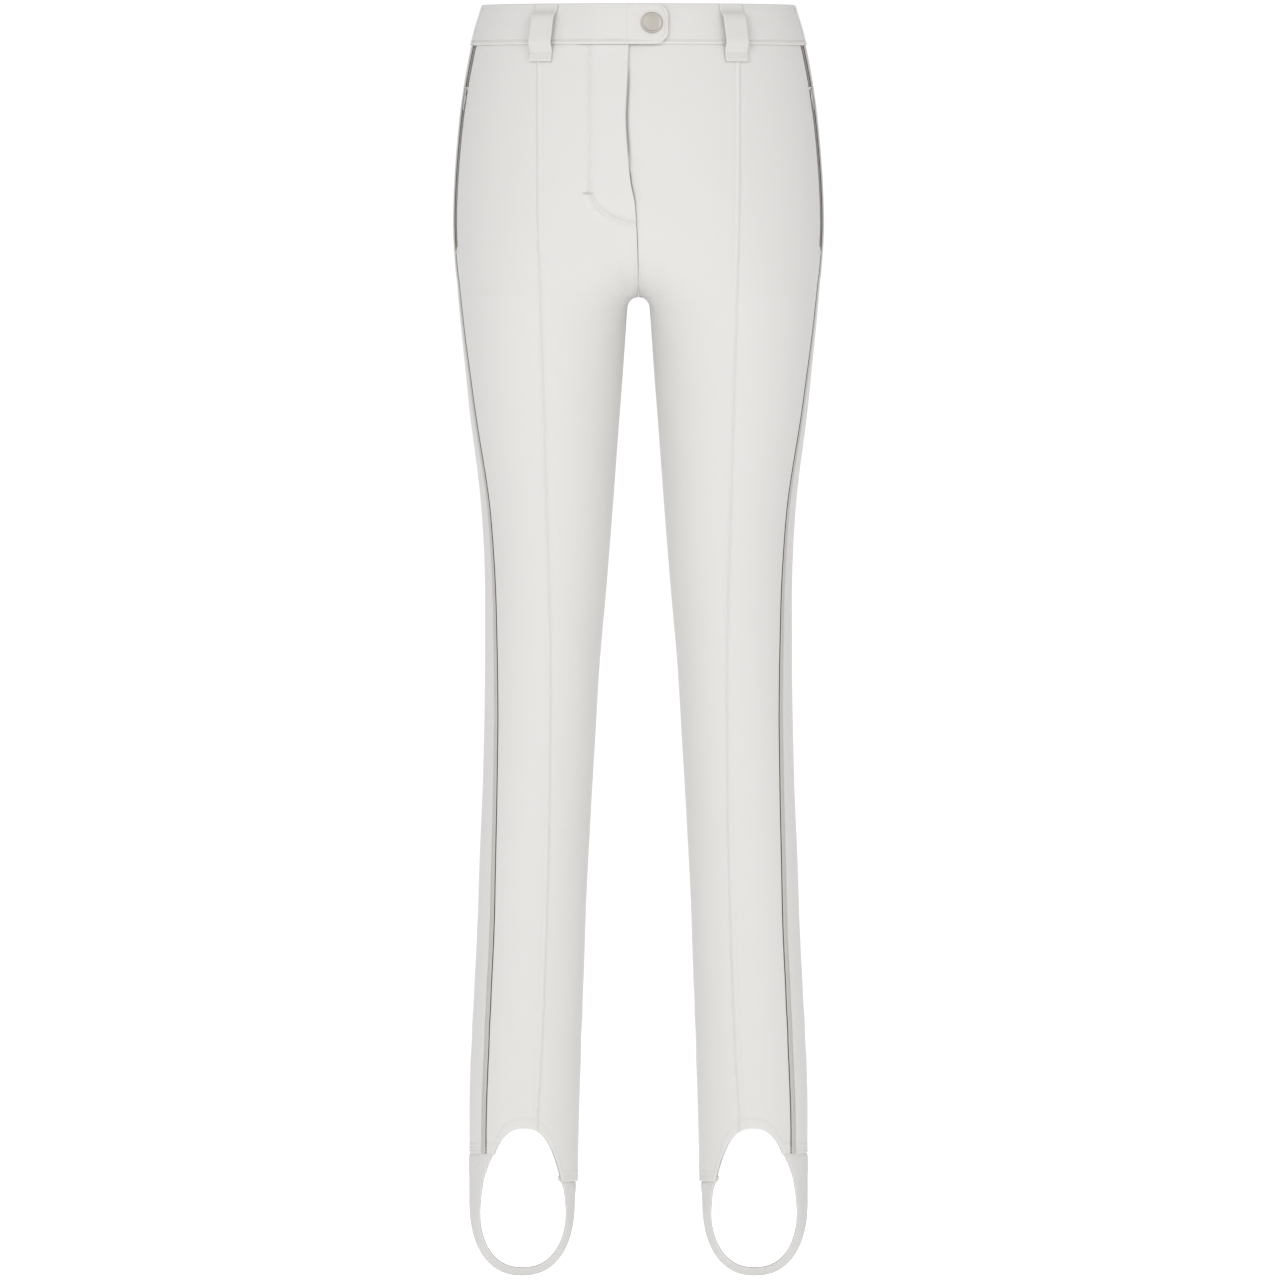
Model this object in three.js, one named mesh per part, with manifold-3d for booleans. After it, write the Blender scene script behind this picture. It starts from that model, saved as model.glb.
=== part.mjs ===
// Women's stirrup ski pants in stretch twill, built from their separate sewn panels and metal trims.
// Millimetres, +Z up. The origin is the centre of the waist opening, level with the waistband's top
// edge. The front faces -Y and the wearer's left is +X. "Drop" is a distance below that top edge.
import * as THREE from 'three';
import { mergeVertices } from 'three/addons/utils/BufferGeometryUtils.js';
import Module from 'manifold-3d';

const wasm = await Module();
wasm.setup();

// Overall sizes
const bandHeight = 36; // waistband, top edge to its bottom seam
const hipDrop = 190; // fullest level of the seat
const crotchDrop = 257; // front rise
const kneeBelowCrotch = 333;
const calfBelowKnee = 198;
const hemBelowCalf = 222; // to the outer end of the stirrup
const waistSide = 137.5; // half width of the waist opening
const bandFlare = 10; // how far the waistband widens on each side towards its bottom seam
const hipSide = 163.3;
const highHipFull = 7.6; // the high hip is this much wider than midway between waist and hips
const kneeSide = 135; // outer leg to the centre plane
const calfSide = 141;
const hemSide = 148.7;
const kneeInner = 34.5; // inner leg to the centre plane
const calfInner = 45.8;
const hemInner = 53.2;
const waistFront = 90; // depths in front of and behind the side plane
const waistBack = 88;
const hipFront = 98;
const hipBack = 124;
const kneeFront = 60;
const kneeBack = 56;
const calfFront = 50;
const calfBack = 62;
const ankleDepth = 46;

// Cloth
const fabric = 1.6;
const bandThick = 2.4;
const bandProud = 0.6; // the waistband's face stands this far off the leg panels' face
const facingThick = 1;
const seamGap = 0.3; // between two pieces that are sewn together
const layerGap = 0.3; // between a facing and what it backs
const looseGap = 1; // the same where the two curve differently

// Fly: the wearer's right front closes over the left front
const flyEdge = 9.5; // the fly's free edge, to the wearer's right of the centre
const flyUnderlap = 14; // the left front runs on this far under it
const flyStitch = 43; // the curved topstitching, which the facing behind follows
const flyLength = 165; // drop of the fly's bottom bar tack
const flyCurve = 27; // height of the curve below it
const flyProud = 2.4; // the right front's lift over the left front
const flyZipAt = 21; // the fly zip's centre line
const shieldThick = 1.2;
const shieldReach = 17; // how far the fly shield passes each side of its zip
const shieldRoom = 0.7; // behind the slider
const shieldBelow = 12; // how far it hangs below the bar tack
const zipHigh = 2; // the zips begin this far below the waistband seam
const zipShort = 6; // and the fly's ends this far above its bar tack
const tapeBelow = 6; // the tapes run on below the bottom stop

// Waistband tab and snap fastener
const bandUnderlap = 35; // the left band runs on this far under the right band
const tabLength = 35;
const tabCorner = 12;
const tabGap = 2.2; // room between the two bands for the closed snap
const snapAt = 11.5; // from the centre
const snapDiameter = 18.5;
const snapDome = 2;
const studRadius = 2.3;
const studHeight = 1;
const studWall = 0.4;
const postHead = 1; // thickness of the rivet's head inside the waistband
const socketRadius = 6.2;
const socketBore = 3;
const socketHeight = 1.6;
const shankRadius = 1.6;
const rivetRadius = 1.1;
const holeSlack = 0.35;
const springThick = 0.4; // the socket's thin top, under the tab
const snapRound = 0.4; // small roundings of the snap's edges

// Belt loops
const loopWidth = 20;
const loopDrop = 51;
const loopThick = 2;
const beltRoom = 5.8; // gap behind the loop for a belt
const loopTop = 0.5; // drop of the loop's upper end
const loopSewn = 7; // length sewn flat at the top
const loopFolded = 11; // and at the folded lower end
const loopBend = 4;
const frontLoopAt = 83;
const frontLoopSlant = 6;
const backLoopAt = 78;

// Zips
const teethWidth = 1.8;
const teethGap = 1.4; // the slider's post runs in it
const teethThick = 2;
const tapeThick = 0.8;
const tapeWidth = 7;
const plateThick = 0.9;
const plateGap = 0.3; // slider plate to teeth
const sliderWidth = 7.8;
const sliderLength = 10;
const postWidth = 0.8;
const pinRadius = 0.5;
const cheekThick = 0.7; // the two ears that hold the pull's pin
const cheekLength = 2.4;
const pinBack = 2.6; // the pin's distance from the slider's upper end
const eyeRadius = 1.1;
const eyeBore = 0.75;
const pullNeck = 3.2;
const pullWidth = 5;
const pullThick = 1.1;
const pocketPull = { length: 19, pinHeight: 2.8 }; // the pin's height above the slider's top plate
const flyPull = { length: 15, pinHeight: 1.5 };
const stopLength = 3;

// Side pockets, along the outer seam
const pocketTop = 66; // drop of the zip's top stop
const pocketBottom = 214; // drop of the slot's lower end
const pocketSliderAt = 77; // closed
const flySliderAt = 46;
const slotWidth = sliderWidth + 1.8;
const bagReach = 62;
const bagBottom = 262;
const bagRound = 24; // how much higher its lower corners are, doubled
const bagSeam = 4; // behind the piping and below the waistband seam
const bagThick = 1.6;
const bagRoom = 1.2; // behind the slider
const pipingWidth = 6;
const pipingProud = 0.5;
const hemFacingHeight = 12;

// Stirrups
const archHeight = 22; // middle of the front hem above the stirrup's outer seam
const backArchLift = 3;
const archSpread = 26.7; // degrees round the leg for the first 12 mm of the arch
const archRise = 12;
const innerSeamStep = 25; // the inner end of the stirrup is sewn this much lower
const strapThick = 2;
const strapHalf = 24; // half of the strap's width front to back
const strapSoleHalf = 22;
const strapShoulder = 42; // straight stretch below the outer seam
const strapDepth = 66; // from there to the sole
const strapRound = 2.3; // power of the curve under the foot
const strapOuterShare = 0.16; // share of the strap's line that is straight at its outer end
const strapInnerShare = 0.08;
const strapInset = 1.5; // the strap's middle is this much nearer the outer leg
const strapProud = 0.3;
const strapEndShare = 0.012; // left clear of the seam at each end
const strapEndGap = 0.6;
const strapEndHalf = 1.2; // half width of its pointed ends
const strapSwing = 45; // degrees: the slope of the strap's pointed ends, which lets it swing

const hemDrop = crotchDrop + kneeBelowCrotch + calfBelowKnee + hemBelowCalf;
const kneeDrop = crotchDrop + kneeBelowCrotch;
const calfDrop = kneeDrop + calfBelowKnee;
const innerHemDrop = hemDrop + innerSeamStep;
const radians = Math.PI / 180;

const cloth = { color: '#e6e4e1', roughness: 0.85, metalness: 0 };
const clothWarm = { color: '#dfdcd6', roughness: 0.85, metalness: 0 };
const lining = { color: '#eceae6', roughness: 0.8, metalness: 0 };
const tapeCloth = { color: '#bdbab0', roughness: 0.8, metalness: 0 };
const elastic = { color: '#e2e0dd', roughness: 0.75, metalness: 0 };
const steel = { color: '#c9c3bc', roughness: 0.3, metalness: 1 };

const pants = new THREE.Group();

function add(name, geometry, finish, parent = pants) {
  const mesh = new THREE.Mesh(geometry, new THREE.MeshStandardMaterial(finish));
  mesh.name = name;
  parent.add(mesh);
  return mesh;
}

// A smooth curve through [drop, value] pairs.
function profile(pairs) {
  const slope = (i) => {
    const a = pairs[Math.max(i - 1, 0)];
    const b = pairs[Math.min(i + 1, pairs.length - 1)];
    return (b[1] - a[1]) / (b[0] - a[0]);
  };
  return (drop) => {
    if (drop <= pairs[0][0]) return pairs[0][1];
    const last = pairs.length - 1;
    if (drop >= pairs[last][0]) return pairs[last][1];
    let i = 0;
    while (drop > pairs[i + 1][0]) i += 1;
    const span = pairs[i + 1][0] - pairs[i][0];
    const t = (drop - pairs[i][0]) / span;
    const keep = 2 * t ** 3 - 3 * t ** 2 + 1;
    const pull = (t ** 3 - 2 * t ** 2 + t) * span * slope(i);
    const push = (t ** 3 - t ** 2) * span * slope(i + 1);
    return keep * pairs[i][1] + pull + (1 - keep) * pairs[i + 1][1] + push;
  };
}

function ramp(value, from, to) {
  return THREE.MathUtils.smoothstep(value, from, to);
}

// Half widths and depths of the body, from the waist to the ankle
const highHip = 102;
const underCrotch = crotchDrop + 85;
const midThigh = crotchDrop + 197;
const lowCalf = calfDrop + 159;
const outerSide = profile([
  [0, waistSide], [bandHeight, waistSide + bandFlare],
  [highHip, (waistSide + hipSide) / 2 + highHipFull], [hipDrop, hipSide],
  [crotchDrop, 159], [underCrotch, 150.5], [midThigh, 137.5], [kneeDrop, kneeSide],
  [calfDrop, calfSide], [lowCalf, 148.3], [hemDrop, hemSide],
]);
const innerSide = profile([
  [crotchDrop, 6.5], [underCrotch, 15.2], [midThigh, 23.3], [kneeDrop, kneeInner],
  [calfDrop, calfInner], [lowCalf, 51.5], [hemDrop, hemInner],
]);
const frontDepth = profile([
  [0, waistFront], [bandHeight, waistFront + 4], [highHip, 99], [hipDrop, hipFront],
  [crotchDrop, 92], [underCrotch, 82], [midThigh, 70], [kneeDrop, kneeFront],
  [calfDrop, calfFront], [lowCalf, ankleDepth], [hemDrop, ankleDepth],
]);
const backDepth = profile([
  [0, waistBack], [bandHeight, waistBack + 6], [highHip, 110], [hipDrop, hipBack],
  [crotchDrop, 112], [underCrotch, 88], [midThigh, 72], [kneeDrop, kneeBack],
  [calfDrop, calfBack], [lowCalf, ankleDepth + 3], [hemDrop, ankleDepth],
]);
const frontCentre = profile([[0, 0], [highHip, 22], [hipDrop, 55], [crotchDrop, 82]]);
const archRadius = 7; // rounding of the gap between the legs
const valleyGrowth = 1.15; // how fast the two thighs merge above the crotch
const seatValley = 0.7;

// Where the seams run: the front crease by its distance from the centre plane, the outer seam
// by its distance in front of the side plane.
const seamTurn = pocketBottom - 14; // the outer seam turns forward below it
const creaseAt = profile([
  [0, 88], [hipDrop, 87.5], [midThigh, 80.5], [kneeDrop, 78], [calfDrop, 81], [hemDrop, 89.5],
]);
const seamForward = profile([
  [0, 15], [seamTurn, 15], [underCrotch, 28], [kneeDrop - 30, 35], [hemDrop, 31],
]);

// One horizontal section of the left half: quarter ellipses that meet at the front and back.
function section(drop, atBack) {
  const outer = outerSide(drop);
  const depth = atBack ? backDepth(drop) : frontDepth(drop);
  if (drop < crotchDrop) {
    const merge = (crotchDrop - drop) ** valleyGrowth;
    const centre = frontCentre(drop);
    return { outer, depth, centre, inner: -merge * (atBack ? seatValley : 1) };
  }
  const below = Math.min((drop - crotchDrop) / archRadius, 1);
  const inner = innerSide(drop) * Math.sqrt(1 - (1 - below) ** 2);
  const settled = ramp(drop, crotchDrop, underCrotch);
  const middle = (outer + innerSide(drop)) / 2;
  return { outer, depth, inner, centre: frontCentre(crotchDrop) * (1 - settled) + middle * settled };
}

// Angle 0 is the outer side of the left leg, 90 the front, 180 the inner leg and -90 the back.
function skinPoint(angle, drop) {
  const s = section(drop, angle < 0);
  const turn = Math.cos(angle * radians);
  const reach = turn < 0 ? s.centre - s.inner : s.outer - s.centre;
  return new THREE.Vector3(s.centre + reach * turn, -s.depth * Math.sin(angle * radians), -drop);
}

function skinNormal(angle, drop) {
  const nudge = 0.5;
  const round = skinPoint(angle + nudge, drop).sub(skinPoint(angle - nudge, drop));
  const down = skinPoint(angle, drop + nudge).sub(skinPoint(angle, drop - nudge));
  return round.cross(down).normalize();
}

function angleAtX(x, drop, atBack = false) {
  const s = section(drop, atBack);
  const reach = x < s.centre ? s.centre - s.inner : s.outer - s.centre;
  const angle = Math.acos(THREE.MathUtils.clamp((x - s.centre) / reach, -1, 1)) / radians;
  return atBack ? -angle : angle;
}

// The angle that lies a few millimetres round the leg from another one.
function shifted(angle, drop, distance) {
  const perDegree = skinPoint(angle + 0.5, drop).distanceTo(skinPoint(angle - 0.5, drop));
  return angle + distance / perDegree;
}

function seamAngle(drop) {
  return Math.asin(seamForward(drop) / frontDepth(drop)) / radians;
}

function creaseAngle(drop) {
  return angleAtX(creaseAt(drop), drop);
}

// The centre seam above the crotch and the inner leg seam below it.
function middleAngle(drop, edge, atBack) {
  if (drop < crotchDrop) return angleAtX(edge, drop, atBack);
  const end = shifted(180, drop, -seamGap / 2);
  return atBack ? -end : end;
}

// The hem: level where the stirrup is sewn on, arched at the front and the back.
function hemAt(angle) {
  const round = Math.abs(angle);
  const top = hemDrop - archHeight - (angle < 0 ? backArchLift : 0);
  const arch = top + archRise * (Math.abs(round - 90) / archSpread) ** 2.5;
  return Math.min(arch, round < 90 ? hemDrop : innerHemDrop);
}

const ankleDrop = hemDrop - 110; // below it the rows bend to follow the hem
function hemmedDrop(angle, drop) {
  if (drop <= ankleDrop) return drop;
  const share = (drop - ankleDrop) / (innerHemDrop - ankleDrop);
  return ankleDrop + share * (hemAt(angle) - ankleDrop);
}

function onSkin(angle, drop, lift, mirrored = false) {
  const point = skinPoint(angle, drop).addScaledVector(skinNormal(angle, drop), lift);
  if (mirrored) point.x = -point.x;
  return point;
}

// [start, steps to the next start] pairs become one list of drops.
function ladder(rungs) {
  const drops = [];
  rungs.forEach(([start, steps], i) => {
    if (!steps) drops.push(start);
    for (let k = 0; k < steps; k += 1) drops.push(start + ((rungs[i + 1][0] - start) * k) / steps);
  });
  return drops;
}

const panelDrops = ladder([
  [bandHeight + seamGap, 6], [pocketBottom - 3, 1], [pocketBottom + 2, 2], [crotchDrop - 14, 3],
  [crotchDrop, 3], [crotchDrop + archRadius, 2], [crotchDrop + 40, 5], [kneeDrop, 4],
  [calfDrop, 3], [ankleDrop, 4], [innerHemDrop, 0],
]);

function signedVolume(points, faces) {
  return faces.reduce((sum, [a, b, c]) => {
    const across = new THREE.Vector3().crossVectors(points[b], points[c]);
    return sum + points[a].dot(across) / 6;
  }, 0);
}

function solid(points, faces) {
  const outward = signedVolume(points, faces) > 0 ? faces : faces.map(([a, b, c]) => [a, c, b]);
  const geometry = new THREE.BufferGeometry();
  geometry.setAttribute('position', new THREE.Float32BufferAttribute(
    points.flatMap((p) => [p.x, p.y, p.z]), 3));
  geometry.setIndex(outward.flat());
  return geometry;
}

// A closed sheet: place(i, j, face) gives the outer (1) and inner (0) skin over a grid, and the
// rims join them. A ring closes on itself instead of having two ends.
function sheet(columns, rows, place, ring = false) {
  const count = ring ? columns : columns + 1;
  const points = [];
  const faces = [];
  const at = (i, j, face) => 2 * (j * count + (i % count)) + face;
  const quad = (a, b, c, d) => faces.push([a, b, c], [a, c, d]);
  for (let j = 0; j <= rows; j += 1) {
    for (let i = 0; i < count; i += 1) points.push(place(i, j, 0), place(i, j, 1));
  }
  for (let j = 0; j < rows; j += 1) {
    for (let i = 0; i < columns; i += 1) {
      quad(at(i, j, 1), at(i + 1, j, 1), at(i + 1, j + 1, 1), at(i, j + 1, 1));
      quad(at(i, j, 0), at(i, j + 1, 0), at(i + 1, j + 1, 0), at(i + 1, j, 0));
    }
    if (!ring) {
      quad(at(0, j, 0), at(0, j, 1), at(0, j + 1, 1), at(0, j + 1, 0));
      quad(at(columns, j, 1), at(columns, j, 0), at(columns, j + 1, 0), at(columns, j + 1, 1));
    }
  }
  for (let i = 0; i < columns; i += 1) {
    quad(at(i, 0, 0), at(i + 1, 0, 0), at(i + 1, 0, 1), at(i, 0, 1));
    quad(at(i, rows, 0), at(i, rows, 1), at(i + 1, rows, 1), at(i + 1, rows, 0));
  }
  return solid(points, faces);
}

function toManifold(geometry) {
  const bare = geometry.clone();
  bare.deleteAttribute('normal');
  bare.deleteAttribute('uv');
  const merged = mergeVertices(bare);
  return new wasm.Manifold(new wasm.Mesh({
    numProp: 3,
    vertProperties: new Float32Array(merged.attributes.position.array),
    triVerts: new Uint32Array(merged.index.array),
  }));
}

function fromManifold(body) {
  const mesh = body.getMesh();
  const geometry = new THREE.BufferGeometry();
  geometry.setAttribute('position', new THREE.BufferAttribute(mesh.vertProperties, 3));
  geometry.setIndex(new THREE.BufferAttribute(mesh.triVerts, 1));
  return geometry;
}

function cut(geometry, ...tools) {
  return fromManifold(tools.reduce((body, t) => body.subtract(toManifold(t)), toManifold(geometry)));
}

function join(first, ...others) {
  return fromManifold(others.reduce((body, o) => body.add(toManifold(o)), toManifold(first)));
}

function box(width, length, height, x = 0, y = 0, z = 0) {
  return new THREE.BoxGeometry(width, length, height).translate(x, y, z);
}

// ---- Fronts and backs -------------------------------------------------------------------------

// The right front stands proud where it closes over the left front.
function flyLift(x, drop) {
  const across = 1 - ramp(x, flyStitch - 8, flyStitch + 6);
  return flyProud * across * (1 - ramp(drop, flyLength, flyLength + flyCurve));
}

function rightFlyEdge(drop) {
  return seamGap / 2 + (flyEdge - seamGap / 2) * (1 - ramp(drop, flyLength - 30, flyLength + flyCurve + 8));
}

// The left front meets the right one edge to edge below the zip and runs on under it above.
function leftFlyEdge(drop) {
  const underlap = (flyUnderlap - flyEdge + seamGap) * (1 - ramp(drop, flyLength - 35, flyLength - 15));
  return seamGap - rightFlyEdge(drop) - underlap;
}

function panel(columns, from, to, mirrored, lift = () => 0) {
  return sheet(columns, panelDrops.length - 1, (i, j, face) => {
    const drop = panelDrops[j];
    const angle = THREE.MathUtils.lerp(from(drop), to(drop), i / columns);
    const place = hemmedDrop(angle, drop);
    const raised = lift(skinPoint(angle, place).x, place);
    return onSkin(angle, place, raised - (face ? 0 : fabric), mirrored);
  });
}

function pocketSlot(drop) {
  return drop < pocketBottom - 1 ? slotWidth : 0;
}

const pipingRoom = pipingWidth / 2 + seamGap;

function addPanels(side, mirrored) {
  const flyEdgeAt = mirrored ? rightFlyEdge : leftFlyEdge;
  const crease = (drop, gap) => shifted(creaseAngle(drop), drop, gap);
  add(`${side}_front_inner_panel`, panel(5,
    (drop) => crease(drop, seamGap / 2),
    (drop) => middleAngle(drop, flyEdgeAt(drop), false),
    mirrored, mirrored ? flyLift : undefined), cloth);
  add(`${side}_front_outer_panel`, panel(4,
    (drop) => shifted(seamAngle(drop), drop, pipingRoom + pocketSlot(drop)),
    (drop) => crease(drop, -seamGap / 2),
    mirrored), cloth);
  add(`${side}_back_panel`, panel(11,
    (drop) => shifted(seamAngle(drop), drop, -pipingRoom),
    (drop) => middleAngle(drop, seamGap / 2, true),
    mirrored), cloth);
  add(`${side}_piping`, piping(mirrored), tapeCloth);
  add(`${side}_hem_facing`, hemFacing(mirrored), lining);
}

function piping(mirrored) {
  return sheet(1, panelDrops.length - 1, (i, j, face) => {
    const drop = panelDrops[j];
    const angle = shifted(seamAngle(drop), drop, (i - 0.5) * pipingWidth);
    return onSkin(angle, hemmedDrop(angle, drop), face ? pipingProud : -fabric, mirrored);
  });
}

function hemFacing(mirrored) {
  const columns = 28;
  return sheet(columns, 1, (i, j, face) => {
    const angle = 180 - (360 * i) / columns;
    const drop = hemAt(angle) - (j ? seamGap : hemFacingHeight);
    return onSkin(angle, drop, -fabric - looseGap - (face ? 0 : facingThick), mirrored);
  }, true);
}

// ---- Waistband --------------------------------------------------------------------------------

const tabLift = bandThick + tabGap;

// The right end of the band is lifted over the left end to leave room for the snap.
function bandLift(x, mirrored) {
  return mirrored ? tabLift * (1 - ramp(x, bandUnderlap - 2, frontLoopAt - loopWidth)) : 0;
}

function bandStretch(columns, from, to, mirrored, top, bottom, outer, thick) {
  const rows = 2;
  return sheet(columns, rows, (i, j, face) => {
    const drop = THREE.MathUtils.lerp(top, bottom, j / rows);
    const angle = THREE.MathUtils.lerp(from(drop), to(drop), i / columns);
    const lift = outer + bandLift(skinPoint(angle, drop).x, mirrored);
    return levelled(pastCentre(angle, drop, lift - (face ? 0 : thick), mirrored), drop);
  });
}

// Follows the front round past the centre onto the other half.
function pastCentre(angle, drop, lift, mirrored) {
  const middle = angleAtX(0, drop);
  if (angle > middle) return onSkin(2 * middle - angle, drop, lift, !mirrored);
  return onSkin(angle, drop, lift, mirrored);
}

// Keeps the band's top and bottom edges level, so that the top edge is a flat face.
function levelled(point, drop) {
  point.z = -drop;
  return point;
}

// From the left side seam round the back to the right side seam.
function backStretch(top, bottom, outer, thick) {
  const columns = 16;
  const rows = 2;
  return sheet(columns, rows, (i, j, face) => {
    const drop = THREE.MathUtils.lerp(top, bottom, j / rows);
    const start = shifted(seamAngle(drop), drop, -seamGap / 2);
    const centre = angleAtX(0, drop, true);
    const share = 1 - Math.abs(i / (columns / 2) - 1);
    const angle = THREE.MathUtils.lerp(start, centre, share);
    return levelled(onSkin(angle, drop, outer - (face ? 0 : thick), i > columns / 2), drop);
  });
}

const facingTop = 2;
const facingOuter = bandProud - bandThick - looseGap;

function bandEnd(x, drop) {
  return x < 0 ? 2 * angleAtX(0, drop) - angleAtX(-x, drop) : angleAtX(x, drop);
}

function bandPiece(kind, mirrored) {
  const from = (drop) => shifted(seamAngle(drop), drop, seamGap / 2);
  if (kind === 'facing') {
    const to = (drop) => bandEnd(mirrored ? bandUnderlap + looseGap : -bandUnderlap, drop);
    return bandStretch(12, from, to, mirrored, facingTop, bandHeight, facingOuter, facingThick);
  }
  const to = (drop) => bandEnd(mirrored ? flyEdge : -bandUnderlap, drop);
  return bandStretch(14, from, to, mirrored, 0, bandHeight, bandProud, bandThick);
}

// The tab carries the right band on over the left one, to a rounded end.
function tabOutline(x) {
  const fromEnd = tabLength - x;
  const inset = fromEnd < tabCorner ? tabCorner - Math.sqrt(tabCorner ** 2 - (tabCorner - fromEnd) ** 2) : 0;
  return { top: seamGap + inset, bottom: bandHeight - seamGap - inset };
}

// Steps that stop just short of the tab's end and close up round its corners.
function tabSteps(columns) {
  const straight = 4;
  const steps = [];
  for (let i = 0; i < straight; i += 1) steps.push(((tabLength - tabCorner) * i) / straight);
  for (let i = 0; i <= columns - straight; i += 1) {
    const turn = (i / (columns - straight)) * 90 * radians;
    steps.push(tabLength - tabCorner * (1 - Math.sin(turn)));
  }
  return steps;
}

function frontFace(x, drop) {
  const mirrored = x < 0;
  const angle = angleAtX(Math.abs(x), drop);
  return { angle, mirrored };
}

function tabPiece() {
  const columns = 10;
  const rows = 4;
  const steps = tabSteps(columns);
  return sheet(columns, rows, (i, j, face) => {
    const { top, bottom } = tabOutline(steps[i]);
    const drop = THREE.MathUtils.lerp(top, bottom, j / rows);
    const x = seamGap - flyEdge + steps[i];
    const { angle, mirrored } = frontFace(x, drop);
    return onSkin(angle, drop, bandProud + tabLift - (face ? 0 : bandThick), mirrored);
  });
}

// The tab folds back about the outer edge of the gap where it meets the right band.
function tabAxis() {
  const at = (drop) => onSkin(angleAtX(flyEdge - seamGap / 2, drop), drop, bandProud + tabLift, true);
  return { top: at(seamGap), bottom: at(bandHeight - seamGap) };
}

// ---- Snap fastener ----------------------------------------------------------------------------

const snapDrop = bandHeight / 2;

// A frame that stands on the band at the snap: Y points out of the cloth.
function snapFrame() {
  const angle = angleAtX(snapAt, snapDrop);
  const out = skinNormal(angle, snapDrop);
  const group = new THREE.Group();
  group.position.copy(skinPoint(angle, snapDrop));
  group.quaternion.setFromUnitVectors(new THREE.Vector3(0, 1, 0), out);
  group.updateMatrixWorld(true);
  return group;
}

const snapSides = 20;

function turned(outline) {
  return new THREE.LatheGeometry(outline.map(([r, y]) => new THREE.Vector2(r, y)), snapSides);
}

function snapHole(frame, radius) {
  const reach = 40;
  const tool = new THREE.CylinderGeometry(radius, radius, reach, snapSides);
  return tool.applyMatrix4(frame.matrixWorld);
}

function addSnap(frame) {
  const tabFace = bandProud + tabLift;
  const tabBack = tabFace - bandThick;
  const capRadius = snapDiameter / 2;
  const cap = tabFace + layerGap;
  const shankEnd = bandProud + layerGap + socketHeight - springThick;
  const dish = cap + snapDome - snapRound;
  add('snap_cap', turned([
    [0, shankEnd], [shankRadius, shankEnd], [shankRadius, cap], [capRadius - snapRound, cap],
    [capRadius, cap + snapRound], [capRadius - snapRound, dish + snapRound / 2],
    [capRadius - 3 * snapRound, cap + snapDome], [capRadius - 5 * snapRound, dish - snapRound / 2],
    [capRadius - 8 * snapRound, dish - snapRound / 2], [0, dish],
  ]), steel, frame);
  const foot = bandProud + layerGap;
  const spring = foot + socketHeight - springThick;
  add('snap_socket', turned([
    [socketBore, foot], [socketRadius - snapRound, foot], [socketRadius, foot + snapRound],
    [socketRadius, tabBack - layerGap], [shankRadius + holeSlack, tabBack - layerGap],
    [shankRadius + holeSlack, spring], [socketBore, spring], [socketBore, foot],
  ]), steel, frame);
  const studTop = foot + studHeight;
  const studFoot = foot - layerGap / 2;
  const studBore = rivetRadius + holeSlack / 2;
  add('snap_stud', turned([
    [studBore, studFoot], [studRadius, studFoot], [studRadius - snapRound / 2, foot + snapRound],
    [studRadius, studTop - snapRound], [studRadius - snapRound, studTop], [0, studTop],
    [0, studTop - studWall], [studBore, studTop - studWall], [studBore, studFoot],
  ]), steel, frame);
  const base = facingOuter - facingThick - layerGap;
  const postTop = studTop - studWall - holeSlack / 2;
  add('snap_post', turned([
    [0, base - postHead], [socketRadius - snapRound, base - postHead],
    [socketRadius, base - postHead + snapRound], [socketRadius, base], [rivetRadius, base],
    [rivetRadius, postTop], [0, postTop],
  ]), steel, frame);
}

// ---- Belt loops -------------------------------------------------------------------------------

function beltLoop(across, slant, atBack, mirrored) {
  const rest = bandProud + layerGap;
  const out = rest + beltRoom;
  const foldTop = loopDrop - loopFolded + loopBend / 2;
  const route = [
    [loopTop, rest], [loopSewn, rest], [loopSewn + loopBend, out],
    [foldTop - loopBend, out], [foldTop, rest], [loopDrop, rest],
  ];
  const middle = loopDrop / 2;
  const angle = angleAtX(across, middle, atBack);
  const normal = skinNormal(angle, middle).setZ(0).normalize();
  const tangent = new THREE.Vector3(-normal.y, normal.x, 0);
  return sheet(2, route.length - 1, (i, j, face) => {
    const [drop, lift] = route[j];
    const x = across + slant * (drop / loopDrop - 0.5);
    const point = skinPoint(angleAtX(x, drop, atBack), drop);
    point.addScaledVector(normal, lift + (face ? loopThick : 0));
    point.addScaledVector(tangent, (i / 2 - 0.5) * loopWidth);
    point.z = -drop;
    if (mirrored) point.x = -point.x;
    return point;
  });
}

// ---- Zips -------------------------------------------------------------------------------------

// A zip runs along a circle in an upright plane. "outwards" is the horizontal direction that the
// circle bulges in, "sideways" the plane's normal and "lean" turns the zip about its own length.
function zipTrack(points, outwards, sideways, lean) {
  const flat = points.map((p) => [p.dot(outwards), p.z]);
  const [[ax, az], [bx, bz], [cx, cz]] = flat;
  const d = 2 * (ax * (bz - cz) + bx * (cz - az) + cx * (az - bz));
  const square = (x, z) => x * x + z * z;
  const u = (square(ax, az) * (bz - cz) + square(bx, bz) * (cz - az) + square(cx, cz) * (az - bz)) / d;
  const w = (square(ax, az) * (cx - bx) + square(bx, bz) * (ax - cx) + square(cx, cz) * (bx - ax)) / d;
  const centre = outwards.clone().multiplyScalar(u).setZ(w);
  centre.addScaledVector(sideways, points[0].dot(sideways));
  return { centre, radius: Math.hypot(ax - u, az - w), outwards, sideways, lean };
}

function trackAngle(track, drop) {
  return Math.asin((-drop - track.centre.z) / track.radius);
}

function radial(track, drop) {
  const turn = trackAngle(track, drop);
  return track.outwards.clone().multiplyScalar(Math.cos(turn)).setZ(Math.sin(turn));
}

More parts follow.
